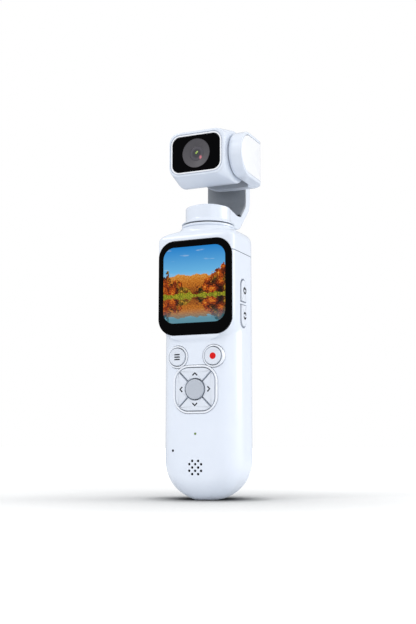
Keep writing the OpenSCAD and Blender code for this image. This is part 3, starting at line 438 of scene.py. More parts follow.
glass = Settings(
    halfWidth=13.65, halfHeight=16.35, corner=5.8, z=71.4, front=11.55, thick=1.1, pocketGap=0.09,
    pictureX=(-11.7, 11.45), pictureZ=(59.15, 85.4), pictureCorner=4.0)
keys = Settings(
    buttonX=6.6, buttonZ=47.7, buttonRadius=2.95, gap=0.3, top=11.25, moat=0.74, flange=8.7, flangeBack=8.1,
    padZ=36.7, padHalf=7.15, padCorner=4.6, padTop=10.95, padMoat=0.78, padGap=0.6, centreRadius=3.35,
    sideTop=14.55, sideY=-2.4, sideZ=66.0, sideWidth=4.3, sideHalf=7.95, sideGap=0.6, sideBar=0.35,
    centreMoat=0.44, chevronOut=5.05, chevronStroke=0.5, menuHalf=1.0, menuStep=0.82, menuStroke=0.4,
    dotRadius=1.1)
speaker = Settings(z=10.8, step=1.08, radius=0.45)
ports = Settings(
    ledZ=21.9, ledRadius=0.42, micX=-8.45, micZ=16.3, micRadius=0.46, thread=3.93,
    portY=-2.2, portZ=24.0, portHalfY=1.7, portHalfZ=4.55, portCorner=1.65,
    cardY=-3.15, cardZ=45.0, cardHalfY=0.55, cardHalfZ=5.7, cardCorner=0.2)


# The cover glass's outline, grown outwards
def glassRing(grow):
    return boxOutline(0, glass.z, glass.halfWidth + grow, glass.halfHeight + grow, glass.corner + grow)


# The direction pad's outline, grown outwards
def padRing(grow):
    half = keys.padHalf + grow
    return boxOutline(0, keys.padZ, half, half, keys.padCorner + grow)


# A half pill for one of the two side keys: round at its outer end, nearly square at the bar between the keys,
# whose half width is near
def halfPill(side, grow, near):
    half, tall = keys.sideWidth / 2 + grow, keys.sideHalf + grow
    small, big = 0.3, half - 0.01
    if side > 0:
        ends, corners = (keys.sideZ + near, keys.sideZ + tall), (small, big)
    else:
        ends, corners = (keys.sideZ - tall, keys.sideZ - near), (big, small)
    return roundedRing(keys.sideY - half, keys.sideY + half, *ends, *corners)


# What lies behind the back cover's parting line, moved back by a gap
def backPart(gap):
    far = 30.0
    outline = roundedRing(-far, far, handle.coverY + gap, far, 0.01, arc=2, run=0)
    return prism(outline, handle.coverZ + gap, far * 3, "plan")


outside, inside = -15.0, -8.0  # levels in front of the wall and behind it
leftHole, rightHole = (-18.0, -12.0), (12.0, 18.0)
glassPocket = prism(glassRing(glass.pocketGap), outside, glass.thick - glass.front + 0.02, "front")
soundSpots = [(i * speaker.step, speaker.z + j * speaker.step) for j in range(-2, 3)
              for i in ((-2, 0, 2) if abs(j) == 1 else (-1, 1))]
holes = [glassPocket, prism(padRing(keys.gap + keys.padMoat), outside, inside, "front"),
         *[roundBar(x, z, speaker.radius, outside, inside, "front", 20) for x, z in soundSpots],
         roundBar(0, ports.ledZ, ports.ledRadius, outside, inside, "front", 24),
         roundBar(ports.micX, ports.micZ, ports.micRadius, outside, inside + 1.0, "front", 20),
         *[prism(halfPill(side, keys.sideGap, keys.sideBar), *rightHole, "side") for side in (-1, 1)],
         prism(boxOutline(ports.portY, ports.portZ, ports.portHalfY, ports.portHalfZ, ports.portCorner),
               *leftHole, "side"),
         prism(boxOutline(ports.cardY, ports.cardZ, ports.cardHalfY, ports.cardHalfZ, ports.cardCorner),
               *leftHole, "side"),
         roundBar(0, 0, ports.thread, -2.0, 3.0, "plan")]
buttonHoles = [roundBar(side * keys.buttonX, keys.buttonZ, keys.buttonRadius + keys.gap + keys.moat, outside,
                        inside + 1.2, "front") for side in (-1, 1)]
cover = casing.copy()
cover.data = casing.data.copy()
cover.name = "back_cover"
bpy.context.scene.collection.objects.link(cover)
carve(casing, together(*holes))
carve(casing, together(*buttonHoles))
carve(casing, backPart(-handle.coverGap))
carve(cover, backPart(handle.coverGap), how="INTERSECT")
dress(casing, "shell", "handle", ["front_casing"])
dress(cover, "shell", "handle", ["rear_cover"])

# Black dust mesh in the speaker and microphone holes, just under the surface
soundRadius, micRadius = speaker.radius - 0.02, ports.micRadius - 0.02
soundProfile = [(soundRadius, 9.6), (soundRadius, 10.3), (speaker.radius * 0.5, 10.22)]
micProfile = [(micRadius, 9.2), (micRadius, 9.85), (micRadius / 2, 9.8)]
addPiece("speaker_dust_mesh", together(*[turnedToFront(soundProfile, x, z, 16) for x, z in soundSpots],
                                       turnedToFront(micProfile, ports.micX, ports.micZ, 16)),
         "mesh", "handle")
print("casing and back cover made")


top = Settings(
    rounder=2.6, round=3.7, flatZ=91.8, turn=50, neck=9.3, neckFoot=93.0, flare=0.45, grooveDepth=0.4,
    grooveTop=93.5, rim=94.3, under=89.6, wall=1.5, post=2.45, postTop=99.2, bore=2.0, sealRadius=8.5)


# The top cover's outline drawn in by an inset: its front corners grow rounder as they rise
def coverOutline(inset, rounder=0.9):
    inset = np.asarray(inset, float)
    half = handle.halfWidth - inset
    return roundedRing(-half, half, inset - handle.podFront, handle.rear - inset,
                       handle.podEdge + rounder * inset, np.maximum(handle.corner - inset, 3.0))


# Straight sides, a quarter-round shoulder as far as turn, then for each column a cubic that leaves along the
# shoulder and arrives upright at the neck's circle
base = handle.seam + handle.seamGap
springZ = top.flatZ - top.round
a = np.radians(np.linspace(0, top.turn, 16))
inset = np.concatenate([[0.0, 0.0], top.round * (1 - np.cos(a))])
height = np.concatenate([[base, (base + springZ) / 2], springZ + top.round * np.sin(a)])
shoulder = onPlane(coverOutline(inset, top.rounder), height[:, None], "plan")
edge, slope = shoulder[-1], shoulder[-1] - shoulder[-2]
slope /= np.linalg.norm(slope, axis=1, keepdims=True)
turnAt = np.arctan2(edge[:, 1], edge[:, 0])
wheel = np.stack([np.cos(turnAt), np.sin(turnAt), np.zeros_like(turnAt)], -1)
neckFoot = wheel * (top.neck + top.flare) + [0, 0, top.neckFoot]
gap = np.linalg.norm(neckFoot - edge, axis=1, keepdims=True)
s = np.linspace(0, 1, 14)[1:, None, None]
upright = np.array([0, 0, 0.7])
swoop = ((2 * s ** 3 - 3 * s ** 2 + 1) * edge + (s ** 3 - 2 * s ** 2 + s) * slope * gap
         + (3 * s ** 2 - 2 * s ** 3) * neckFoot + (s ** 3 - s ** 2) * upright * gap)
groove = top.neck - top.grooveDepth
neckProfile = [(groove, top.neckFoot + 0.05), (groove, top.grooveTop - 0.05), (top.neck - 0.1, top.grooveTop),
               (top.neck, top.grooveTop + 0.1), (top.neck, top.rim - 0.15), (top.neck - 0.15, top.rim),
               (top.post, top.rim), (top.post, top.postTop)]
neckRings = np.stack([wheel * r + [0, 0, z] for r, z in neckProfile])
innerSteps = ((4.5, top.under), (3.0, top.under), (top.wall, top.under - top.wall), (top.wall, base))
innerCover = np.stack([onPlane(coverOutline(i), z, "plan") for i, z in innerSteps])
topCover = makeObject("top_cover_shell", loft(np.concatenate([innerCover, shoulder, swoop, neckRings])))
carve(topCover, together(glassPocket, roundBar(0, 0, top.bore, 85.0, 101.0, "plan", 48)))
dress(topCover, "shell", "handle", ["top_cover"])

# Dark rings in the seam under the top cover and in the gap over the neck, as painted shade in these gaps
seamProfile = [(-0.3, handle.seam - 0.3), (-0.3, handle.seam + 0.3), (-1.1, handle.seam + 0.3),
               (-1.1, handle.seam - 0.3)]
addPiece("seam_painted_shade", hoopAlong(coverOutline(0.0), seamProfile, "plan"), "gapShade", "handle")
panProfile = [(0, top.rim - 0.05), (0.1, top.rim + 0.3), (-0.6, top.rim + 0.3), (-0.6, top.rim - 0.05)]
addPiece("pan_gap_painted_shade", hoopAlong(circleOutline(0, 0, top.sealRadius, 96), panProfile, "plan"), "gapShade",
         "handle")
print("top cover and seals made")


# The lit picture is a made-up view: two wooded slopes and a far ridge under a blue sky, mirrored in a lake.
# Everything is worked out from two picture coordinates that run from -1 to 1: u across and v up.
def pictureFinish():
    material, tree, shader, place = startFinish("lit_display_picture", {
        "Roughness": 0.08, "IOR": 1.52, "Specular IOR Level": 0.05,
        "Emission Strength": 0.85, "Base Color": linearColour("#050507")})
    (x0, x1), (z0, z1) = glass.pictureX, glass.pictureZ
    shore = -0.3
    parts = addNode(tree, "ShaderNodeSeparateXYZ", {0: place}).outputs
    made = addRows(tree, {"x": parts["X"], "z": parts["Z"]}, [
        ("u", "MULTIPLY_ADD", "x", 2 / ((x1 - x0) * mm), -(x0 + x1) / (x1 - x0)),
        ("v", "MULTIPLY_ADD", "z", 2 / ((z1 - z0) * mm), -(z0 + z1) / (z1 - z0)),
        # the lake mirrors what stands above the shore, pushed about by a long flat ripple
        ("below", "SUBTRACT", shore, "v"), ("wet", "step", "below", -0.006, 0.006),
        ("wide", "MULTIPLY", "u", 1.2), ("low", "MULTIPLY", "v", 12.0), ("spot", "pair", "wide", "low"),
        ("wave", "noise", "spot", 3.0, 3.0), ("wave", "SUBTRACT", "wave", 0.5),
        ("push", "MULTIPLY", "wet", 0.22), ("ripple", "MULTIPLY", "wave", "push"),
        ("lift", "MULTIPLY", "ripple", 0.3), ("across", "ADD", "u", "ripple"),
        ("up", "SUBTRACT", "v", shore), ("up", "ABSOLUTE", "up"), ("up", "ADD", "up", "lift"),
        # patterns of the woods: clumps, twigs, groves of one colour and round crowns
        ("spot", "pair", "across", "up"), ("leaves", "noise", "spot", 5.0, 5.0),
        ("twigs", "noise", "spot", 26.0, 5.0), ("crowns", "cells", "spot", 5.5, 0.6),
        ("wide", "ADD", "across", 4.0), ("low", "MULTIPLY", "up", 0.6), ("spot", "pair", "wide", "low"),
        ("grove", "noise", "spot", 3.2, 2.0),
        # blue sky with a few streaks of cloud
        ("sky", "ramp", "v", [(0.0, "#b4dcf4"), (0.35, "#6cbcee"), (1.0, "#2288d6")]),
        ("wide", "MULTIPLY", "u", 0.8), ("low", "MULTIPLY", "v", 4.0), ("spot", "pair", "wide", "low"),
        ("cloud", "noise", "spot", 2.2, 6.0), ("cloud", "step", "cloud", 0.6, 0.76),
        ("cloud", "MULTIPLY", "cloud", 0.6), ("sky", "mix", "cloud", "sky", "#e9f3fb"),
        # the far ridge, golden where its twigs catch the light
        ("spot", "pair", "across", 3.1), ("ridge", "noise", "spot", 1.6, 5.0),
        ("ridge", "MULTIPLY_ADD", "ridge", 0.7, 0.2), ("ridge", "SUBTRACT", "ridge", "up"),
        ("ridge", "step", "ridge", -0.01, 0.01), ("tone", "MULTIPLY", "twigs", 0.6),
        ("rise", "MULTIPLY", "up", 0.5), ("tone", "ADD", "tone", "rise"),
        ("tone", "ramp", "tone", [(0.3, "#6e3410"), (0.5, "#cf7a22"), (0.7, "#edb45a")]),
        ("scene", "mix", "ridge", "sky", "tone"),
        # the near woods rise to both sides of a valley, in red and in gold groves
        ("valley", "ADD", "across", 0.1), ("valley", "ABSOLUTE", "valley"),
        ("uneven", "SUBTRACT", "leaves", 0.5), ("uneven", "MULTIPLY", "uneven", 0.8),
        ("wood", "MULTIPLY_ADD", "valley", 0.62, 0.22), ("wood", "ADD", "wood", "uneven"),
        ("dip", "MULTIPLY", "crowns", 0.28), ("wood", "SUBTRACT", "wood", "dip"),
        ("wood", "SUBTRACT", "wood", "up"), ("wood", "step", "wood", -0.012, 0.012),
        ("fine", "MULTIPLY", "twigs", 0.75), ("round", "SUBTRACT", 0.75, "crowns"),
        ("round", "MULTIPLY", "round", 0.42), ("shade", "ADD", "fine", "round"),
        ("warm", "ramp", "shade", [
            (0.36, "#241006"), (0.48, "#7c2c0a"), (0.58, "#c2540e"), (0.7, "#e68a26"), (0.84, "#f6c866")]),
        ("gold", "ramp", "shade", [
            (0.36, "#1c1606"), (0.48, "#5c4a12"), (0.58, "#a87c1c"), (0.7, "#dfb03c"), (0.84, "#f5e08a")]),
        ("grove", "step", "grove", 0.46, 0.58), ("trees", "mix", "grove", "warm", "gold"),
        ("scene", "mix", "wood", "scene", "trees"),
        # a bank of yellow-green reeds along the shore
        ("bank", "MULTIPLY_ADD", "leaves", 0.3, -0.09), ("bank", "SUBTRACT", "bank", "up"),
        ("bank", "step", "bank", -0.006, 0.01),
        ("reeds", "ramp", "twigs", [(0.3, "#2c2c08"), (0.5, "#8a8f1a"), (0.72, "#e2cc3c")]),
        ("scene", "mix", "bank", "scene", "reeds"),
        # the water turns to its own teal towards the lower edge
        ("deep", "step", "below", 0.3, 0.62), ("deep", "MULTIPLY_ADD", "deep", 0.72, 0.02),
        ("deep", "MULTIPLY", "wet", "deep"), ("scene", "mix", "deep", "scene", "#07707f")])
    tree.links.new(made["scene"], shader.inputs["Emission Color"])
    return material


# The cover glass: a plate with a softened edge, then rings of the picture's rounded window, ever smaller
def glassForm():
    y = -glass.front
    steps = [(0.12, y + glass.thick), (0.0, y + glass.thick - 0.12), (0.0, y + 0.3), (0.04, y + 0.12),
             (0.16, y + 0.03), (0.4, y)]
    rings = [onPlane(drawnIn(glassRing(0), i), level, "front") for i, level in steps]
    (x0, x1), (z0, z1) = glass.pictureX, glass.pictureZ
    for i in (0.0, 1.5, 3.5, 6.0, 9.0):
        corner = max(glass.pictureCorner - i, 0.5)
        rings.append(onPlane(roundedRing(x0 + i, x1 - i, z0 + i, z1 - i, corner), y, "front"))
    return loft(np.stack(rings))


screen = addPiece("cover_glass", glassForm(), "glass", "handle", ["screen_glass"], sharp=60)
screen.data.materials.append(pictureFinish())
centres = np.zeros(len(screen.data.polygons) * 3)
screen.data.polygons.foreach_get("center", centres)
centres = centres.reshape(-1, 3) / mm
# a face belongs to the picture if its middle lies in the picture's rounded window, on the front
(x0, x1), (z0, z1) = glass.pictureX, glass.pictureZ
dx = np.abs(centres[:, 0] - (x0 + x1) / 2) - (x1 - x0) / 2 + glass.pictureCorner
dz = np.abs(centres[:, 2] - (z0 + z1) / 2) - (z1 - z0) / 2 + glass.pictureCorner
far = np.hypot(np.maximum(dx, 0), np.maximum(dz, 0)) + np.minimum(np.maximum(dx, dz), 0) - glass.pictureCorner
lit = (far < 0) & (centres[:, 1] < 0.01 - glass.front)
screen.data.polygons.foreach_set("material_index", lit.astype(np.int32))
print("cover glass and picture made")


# Profiles of the raised rims, as (outwards, level) pairs: a straight inner wall, a rounded crest and a flange
rim = Settings(
    button=[(0, -8.7), (0, -10.7), (0.05, -10.85), (0.14, -10.9), (0.3, -10.9), (0.42, -10.84), (0.5, -10.7),
            (0.54, -10.45), (0.56, -9.3), (0.56, -9.0), (1.0, -8.98), (1.0, -8.7)],
    pad=[(0, -8.7), (0, -10.7), (0.05, -10.81), (0.14, -10.85), (0.42, -10.85), (0.54, -10.8), (0.6, -10.68),
         (0.64, -10.4), (0.66, -9.3), (0.66, -9.0), (1.0, -8.98), (1.0, -8.7)])
for name, side in (("mode", -1), ("record", 1)):
    outline = circleOutline(side * keys.buttonX, keys.buttonZ, keys.buttonRadius + keys.gap, 96)
    addPiece(name + "_rim", hoopAlong(outline, rim.button, "front"), "rim", "handle")
addPiece("pad_rim", hoopAlong(padRing(keys.gap), rim.pad, "front"), "rim", "handle")

# A round key: a flange behind the wall, a straight skirt, a rounded edge and a shallow dish
r, y = keys.buttonRadius, keys.top
roundKey = [(r + 0.35, keys.flangeBack), (r + 0.35, keys.flange - 0.1), (r, keys.flange), (r, y - 0.2),
            *quarter(r, y - 0.2, r - 0.2, y, flat=False), (r - 0.45, y - 0.02), (r - 1.1, y - 0.16),
            (r - 1.9, y - 0.25), (r - 2.6, y - 0.28)]
for name, side in (("mode", -1), ("record", 1)):
    addPiece(name + "_key", turnedToFront(roundKey, side * keys.buttonX, keys.buttonZ), "key",
             name + "_button", [name + "_button"])
r = keys.centreRadius
centreKey = [(r, keys.flangeBack), (r, y - 0.25), *quarter(r, y - 0.25, r - 0.25, y, flat=False),
             (r - 0.8, y), (r - 2.0, y - 0.05)]
addPiece("centre_key_cap", turnedToFront(centreKey, 0, keys.padZ), "centreKey", "center_key",
         ["center_key"])


# One wedge of the pad, pointing up: its inner arc clears the centre key, its sides run beside the diagonals
# at half the gap, and its outer side is the pad's rounded square, whose radius at angle p is half / sin p on
# the flat and c.u + sqrt((c.u)^2 - c.c + corner^2) on the corner round c
def wedgeOutline():
    near, half, corner = keys.centreRadius + keys.centreMoat, keys.padHalf - 0.02, keys.padCorner
    c = half - corner
    diagonal = c * np.sqrt(2) + corner
    p0, p1 = [np.pi / 4 + np.arcsin(keys.padGap / 2 / r) for r in (near, diagonal)]
    innerArc = onCircle(near, np.linspace(np.pi - p0, p0, 20))
    p = np.linspace(p1, np.pi - p1, 60)
    cu = c * (np.abs(np.cos(p)) + np.sin(p))
    onCorner = cu + np.sqrt(cu ** 2 - 2 * c * c + corner ** 2)
    outerArc = onCircle(np.where(np.abs(np.cos(p)) * onCorner > c, onCorner, half / np.sin(p)), p)
    share = np.linspace(0, 1, 10)[1:-1, None]
    return np.concatenate([innerArc, innerArc[-1] + (outerArc[0] - innerArc[-1]) * share, outerArc,
                           outerArc[-1] + (innerArc[0] - outerArc[-1]) * share])


# Points turned clockwise round the origin by quarter turns
def turnedOutline(points, quarterTurns):
    a = -quarterTurns * np.pi / 2
    return points @ np.array([[np.cos(a), np.sin(a)], [-np.sin(a), np.cos(a)]])


wedge = wedgeOutline()
y = -keys.padTop
wedgeSteps = [(-0.3, -keys.flangeBack), (-0.3, 0.05 - keys.flange), (0.0, -keys.flange), (0.0, y + 0.16),
              (0.03, y + 0.07), (0.09, y + 0.02), (0.2, y)]
chevron = np.array([[-0.85, -0.42], [0, 0.42], [0.85, -0.42]]) + [0, keys.chevronOut]
for count, name in enumerate(("up_key", "right_key", "down_key", "left_key")):
    outline, path = [turnedOutline(line, count) + [0, keys.padZ] for line in (wedge, chevron)]
    addPiece(name + "_cap", steppedPlate(outline, wedgeSteps, "front"), "key", name, [name])
    addPiece(name.replace("key", "mark"), strokeForm(path, keys.chevronStroke, y + 0.05, y - 0.02, "front"),
             "ink", name)

# A plain three-bar menu mark on the mode key, and the record key's red dot
y = -keys.top
bars = [strokeForm([[-keys.buttonX - keys.menuHalf, z], [-keys.buttonX + keys.menuHalf, z]], keys.menuStroke,
                   y + 0.4, y + 0.2, "front")
        for z in (keys.buttonZ - keys.menuStep, keys.buttonZ, keys.buttonZ + keys.menuStep)]
addPiece("mode_mark", together(*bars), "ink", "mode_button")
dot = [(keys.dotRadius, keys.top - 0.5), (keys.dotRadius, keys.top - 0.2),
       (keys.dotRadius - 0.15, keys.top - 0.17)]
addPiece("record_mark", turnedToFront(dot, keys.buttonX, keys.buttonZ, 48), "recordRed", "record_button")

glyph = Settings(y=-1.75, power=70.5, loop=61.8, radius=1.0, stroke=0.62)
x = keys.sideTop
sideSteps = [(-0.28, 12.3), (-0.28, 12.6), (0.0, 12.65), (0.0, x - 0.22), (0.05, x - 0.08), (0.16, x - 0.01),
             (0.4, x)]
glyphLevels = (x - 0.1, x + 0.03)


# An arc of a side key's mark, at height z from one angle to another
def glyphArc(z, start, end):
    arc = onCircle(glyph.radius, np.radians(np.linspace(start, end, 30))) + [glyph.y, z]
    return strokeForm(arc, glyph.stroke, *glyphLevels, "side")


# A power mark, and a round-trip mark of two arcs with an arrow head each
stem = [[glyph.y, glyph.power + 0.2], [glyph.y, glyph.power + 1.25]]
powerMark = [glyphArc(glyph.power, 125, 415), strokeForm(stem, glyph.stroke, *glyphLevels, "side")]
loopMark = [glyphArc(glyph.loop, start + 25, start + 160) for start in (0, 180)]
for side in (-1, 1):
    tip = np.array([glyph.y + side * 0.85, glyph.loop + side * 0.1])
    loopMark.append(prism(np.array([[-0.42, 0], [0.42, 0], [0, 0.55]]) * side + tip, *glyphLevels, "side"))
for name, side, marks in (("power", 1, powerMark), ("function", -1, loopMark)):
    cap = addPiece(name + "_key_cap", steppedPlate(halfPill(side, 0.0, 0.65), sideSteps, "side"), "key",
                   name + "_button", [name + "_button"])
    # The skirt takes the grey finish as painted shade: the white key's wall lies in the gap's shadow
    cap.data.materials.append(finish["centreKey"])  # the skirt shows greyer in the gap
    skirtPaintedShade = [int(abs(face.normal.x) < 0.8) for face in cap.data.polygons]
    cap.data.polygons.foreach_set("material_index", skirtPaintedShade)
    addPiece(name + "_mark", together(*marks), "ink", name + "_button")
print("keys, rims and marks made")


arm = Settings(
    lip=9.3, under=94.75, drum=7.95, step=100.9, disc=6.3, top=101.4, cavity=7.05, roof=99.9, half=7.6,
    axis=118.9, footTop=99.8, crook=10.7, front=16.4, rear=21.2, knee=105.15, footRear=10.8, cover=0.9,
    bore=6.5, boreEnd=19.9, hub=2.2, bearing=1.7, round=0.4, rampY=2.4, rampZ=100.8, coverStart=9)


# A path with its corners rounded: each inner corner becomes an arc-like run of a quadratic curve whose ends
# lie reach away from it along both sides
def roundedPath(points, reaches, count=9):
    points = np.asarray(points, float)
    out = [points[:1]]
    for before, corner, after, reach in zip(points, points[1:], points[2:], reaches):
        start = corner + (before - corner) * reach / np.linalg.norm(before - corner)
        end = corner + (after - corner) * reach / np.linalg.norm(after - corner)
        s = np.linspace(0, 1, count)[:, None]
        out.append((1 - s) ** 2 * start + 2 * s * (1 - s) * corner + s * s * end)
    return np.concatenate([*out, points[-1:]])


# A bar swept between an inner and an outer path of equal length in one plane: at every station the section
# is a rounded rectangle, high and low wide across the plane and as thick as the two paths are apart there
def sweptBar(inner, outer, high, edge, plane, low=None):
    across = outer - inner
    thick = np.linalg.norm(across, axis=1)
    edge = np.minimum(np.minimum(edge, thick * 0.48), np.maximum(high, 0.02) * 0.9)
    section = roundedRing(-(high if low is None else low), high, 0.0, thick, edge, arc=7, run=6)
    spot = inner[:, None] + across[:, None] / thick[:, None, None] * section[..., 1:]
    if plane == "side":
        return loft(onPlane(spot, section[..., 0], "side"))
    return loft(onPlane(spot, section[..., 0] + arm.axis, "plan"))


# A hollow turned form on the axis of the roll or tilt motor: (radius, level) pairs, closed on themselves
def motorRing(profile, plane, count=48):
    rings = [onPlane(circleOutline(0, arm.axis, r, count), level, plane) for r, level in profile]
    return hoop(np.stack(rings))


# The stations above the roll axis close in a half circle: its half width at height z is sqrt(r^2 - z^2)
crown = arm.half * np.sin(np.radians([0, 12, 24, 36, 48, 58, 67, 75, 81, 85.5, 88.5]))
crownHalf = np.sqrt(arm.half ** 2 - crown ** 2)


# A path that continues straight up through the crown
def withCrown(path):
    return np.concatenate([path, np.stack([np.full(len(crown) - 1, path[-1, 0]), arm.axis + crown[1:]], -1)])


# The arm's half widths along such a path
def widths(path):
    return np.concatenate([np.full(len(path), arm.half), crownHalf[1:]])


# A path resampled to a number of stations, at equal shares of its points
def matched(path, count):
    at = np.linspace(0, len(path) - 1, count)
    return np.stack([np.interp(at, np.arange(len(path)), path[:, i]) for i in (0, 1)], -1)


# Seen from the side, in front, behind and under the cover, and along the ramp from the disc to the foot
kneeIn = arm.footTop + arm.front - arm.crook
behindCrook, behindFront = arm.crook + arm.cover * np.sqrt(2), arm.front + arm.cover
behindRise = [(behindFront, kneeIn - arm.cover * (np.sqrt(2) - 1)), (behindFront, arm.axis)]
innerPath = roundedPath([(0, arm.footTop), (arm.crook, arm.footTop), (arm.front, kneeIn),
                         (arm.front, arm.axis)], (1.6, 2.0))
outerPath = roundedPath([(0, arm.under), (arm.footRear, arm.under), (arm.rear, arm.knee),
                         (arm.rear, arm.axis)], (2.2, 3.2))
behindPath = roundedPath([(0, arm.footTop), (behindCrook, arm.footTop), *behindRise], (0.6, 2.0))
rampPath = roundedPath([(0, arm.rampZ), (arm.rampY, arm.rampZ), (arm.drum, arm.footTop - 0.02),
                        (behindCrook, arm.footTop - 0.02), *behindRise], (1.5, 1.5, 0.6, 2.0))
armBar = sweptBar(withCrown(rampPath), withCrown(matched(outerPath, len(rampPath))), widths(rampPath),
                  arm.round, "side")
# The drum: a lip, a waist, an upright wall with a rounded step, and the disc on top
lip, drum, disc = arm.lip, arm.drum, arm.disc
drumProfile = [(0.0, arm.under), (lip - 0.12, arm.under), (lip, arm.under + 0.12), (lip, arm.under + 0.28),
               (lip - 0.1, arm.under + 0.42),
               *quarter(lip - 0.25, arm.under + 0.5, drum, arm.under + 1.9, flat=True, count=9),
               (drum, arm.step - 0.5), *quarter(drum, arm.step - 0.5, drum - 0.5, arm.step, flat=False),
               (disc + 0.25, arm.step + 0.02), (disc + 0.04, arm.step + 0.12), (disc, arm.step + 0.35),
               (disc, arm.top - 0.35), *quarter(disc, arm.top - 0.35, disc - 0.35, arm.top, flat=False)]
panArm = makeObject("pan_arm_shell", turnedForm(drumProfile, 120))
carve(panArm, armBar, how="UNION")
carve(panArm, roundBar(0, 0, arm.cavity, 90.0, arm.roof, "plan", 96),
      roundBar(0, arm.axis, arm.bore, 15.0, arm.boreEnd, "front"))
hubProfile = [(arm.bearing, arm.front), (arm.hub, arm.front), (arm.hub, arm.boreEnd + 0.1),
              (arm.bearing, arm.boreEnd + 0.1)]
carve(panArm, motorRing(hubProfile, "front"), how="UNION")
dress(panArm, "shell", "pan_arm", ["pan_arm"])

# The grey cover inside the arm: a bent strip from the foot's end up to the crown, open round the roll motor
coverIn, coverOut, coverHalf = [line[arm.coverStart:] for line in
                                (withCrown(innerPath), withCrown(behindPath), widths(innerPath))]
armCover = makeObject("arm_grey_cover", sweptBar(coverIn, coverOut, coverHalf - 0.02, 0.25, "side"))
screwSpot = np.array([arm.half - 0.9, arm.crook + 0.8, arm.footTop + 0.8])


# A turned form set on the slope, its profile heights counted outwards from the slope's face
def turnedOnSlope(profile, count=32):
    points, faces = turnedForm(profile, count)
    frameOfSlope = np.array([[1, 0, 0], [0, 1, 1], [0, -1, 1]]) / np.sqrt([[1], [2], [2]])
    return screwSpot + points @ frameOfSlope, faces


carve(armCover, roundBar(0, arm.axis, arm.bore, 15.0, 18.5, "front"),
      turnedOnSlope([(0.6, -0.5), (0.6, 1.0)]))
dress(armCover, "armCover", "pan_arm", ["arm_inner_cover"])
screwProfile = [(0.35, -2.3), (0.35, -0.5), (0.52, -0.5), (0.54, -0.22), (0.46, -0.12), (0.27, -0.1),
                (0.25, -0.32)]
addPiece("arm_edge_screw", turnedOnSlope(screwProfile), "blackScrew", "pan_arm",
         ["arm_screw"])
print("pan arm and its cover made")


roll = Settings(
    x=11.6, out=15.9, r=8.0, back=9.65, rear=12.65, backR=8.6, edge=0.4, low=9.2, slabLow=8.1, bendLow=8.8,
    webX=14.35, bore=6.4, post=2.0, bearing=1.5, postX=11.75, collarX=11.0, collarR=7.5,
    capX=15.05, capR=6.8, capEnd=10.85, capCorner=0.5, screwRing=4.0, screwHead=1.4, screwShank=0.75)
frontStations = -roll.r * np.sin(np.radians(np.linspace(88.5, 0, 14)))[:-1]
backStations = -roll.backR * np.sin(np.radians(np.linspace(0, 88.5, 14)))[1:]
tail = np.linspace(4.5, 0, 8)[1:-1]  # stations on the back plate, just before the roll axis
bend = 11


# The roll frame's inner or outer path, seen from above: along the side slab at x, round a bend and along the
# back plate at y
def framePath(x, y, reach):
    turn = roundedPath([(x, 0), (x, y), (0, y)], (reach,), bend)
    return np.concatenate([np.stack([np.full(13, x), frontStations], -1), turn[:-1],
                           np.stack([tail, np.full(6, y)], -1), turn[-1:],
                           np.stack([backStations, np.full(13, y)], -1)])


# Above, the half height follows the motor disc's circle, never less than the slab's. Below, the slab stays
# level and the back plate deepens evenly from it, then its lower edge rises again to the disc's circle.
frontHalf = np.sqrt(roll.r ** 2 - frontStations ** 2)
backHalf = np.sqrt(roll.backR ** 2 - backStations ** 2)
tailHigh = np.maximum(np.sqrt(np.maximum(roll.backR ** 2 - tail ** 2, 0)), roll.r)
tailLow = roll.backR + (roll.low - roll.backR) * tail / roll.x
frameHigh = np.concatenate([frontHalf, np.full(bend + 1, roll.r), tailHigh, [roll.backR], backHalf])
frameLow = np.concatenate([frontHalf, [roll.r], np.linspace(roll.slabLow, roll.bendLow, bend), tailLow,
                           [roll.backR], backHalf])
rollFrame = makeObject("roll_frame_shell", sweptBar(
    framePath(roll.x, roll.back, 0.4), framePath(roll.out, roll.rear, 3.0), frameHigh, roll.edge, "plan",
    frameLow))


# The side cap's outline, seen from the side: a half disc in front and a straight-sided plate behind it
def capOutline(grow):
    r, end, small, axis = roll.capR + grow, roll.capEnd + grow, roll.capCorner, arm.axis
    left = onCircle(r, np.radians(np.linspace(90, 270, 41))) + [0, axis]
    low = np.stack([np.linspace(0, end - small, 12)[1:-1], np.full(10, axis - r)], -1)
    corner = onCircle(small, np.radians(np.linspace(-90, 0, 7))) + [end - small, axis - r + small]
    right = np.stack([np.full(8, end), np.linspace(axis - r + small, axis + r - small, 10)[1:-1]], -1)
    highCorner, high = [part[::-1] * [1, -1] + [0, 2 * axis] for part in (corner, low)]
    return np.concatenate([left, low, corner, right, highCorner, high])


# Out come the tilt motor's bore, the cap's recess and the stepped screw holes; a post for its bearings and a
# low collar towards the camera are added
screwAngles = -np.radians([0, 120, 240])
screwParts = ((roll.screwHead, 9.0, roll.back + 0.82), (roll.screwShank, roll.back + 0.8, 13.0))
screwHoles = [together(*[roundBar(x, arm.axis + z, r, y0, y1, "front", 32)
                         for x, z in onCircle(roll.screwRing, screwAngles)]) for r, y0, y1 in screwParts]
carve(rollFrame, roundBar(0, arm.axis, roll.bore, 10.0, roll.webX, "side"),
      prism(capOutline(0.18), roll.capX - 0.15, 18.0, "side"))
carve(rollFrame, *screwHoles)
postProfile = [(roll.bearing, roll.postX), (roll.post, roll.postX), (roll.post, roll.webX + 0.1),
               (roll.bearing, roll.webX + 0.1)]
carve(rollFrame, motorRing(postProfile, "side"), how="UNION")
collarProfile = [(roll.bore, roll.webX - 1.0), (roll.bore, roll.collarX), (roll.collarR - 0.1, roll.collarX),
                 (roll.collarR, roll.collarX + 0.1), (roll.collarR, roll.webX - 1.0)]
carve(rollFrame, motorRing(collarProfile, "side", 96), how="UNION")
dress(rollFrame, "shell", "roll_frame", ["roll_frame"])
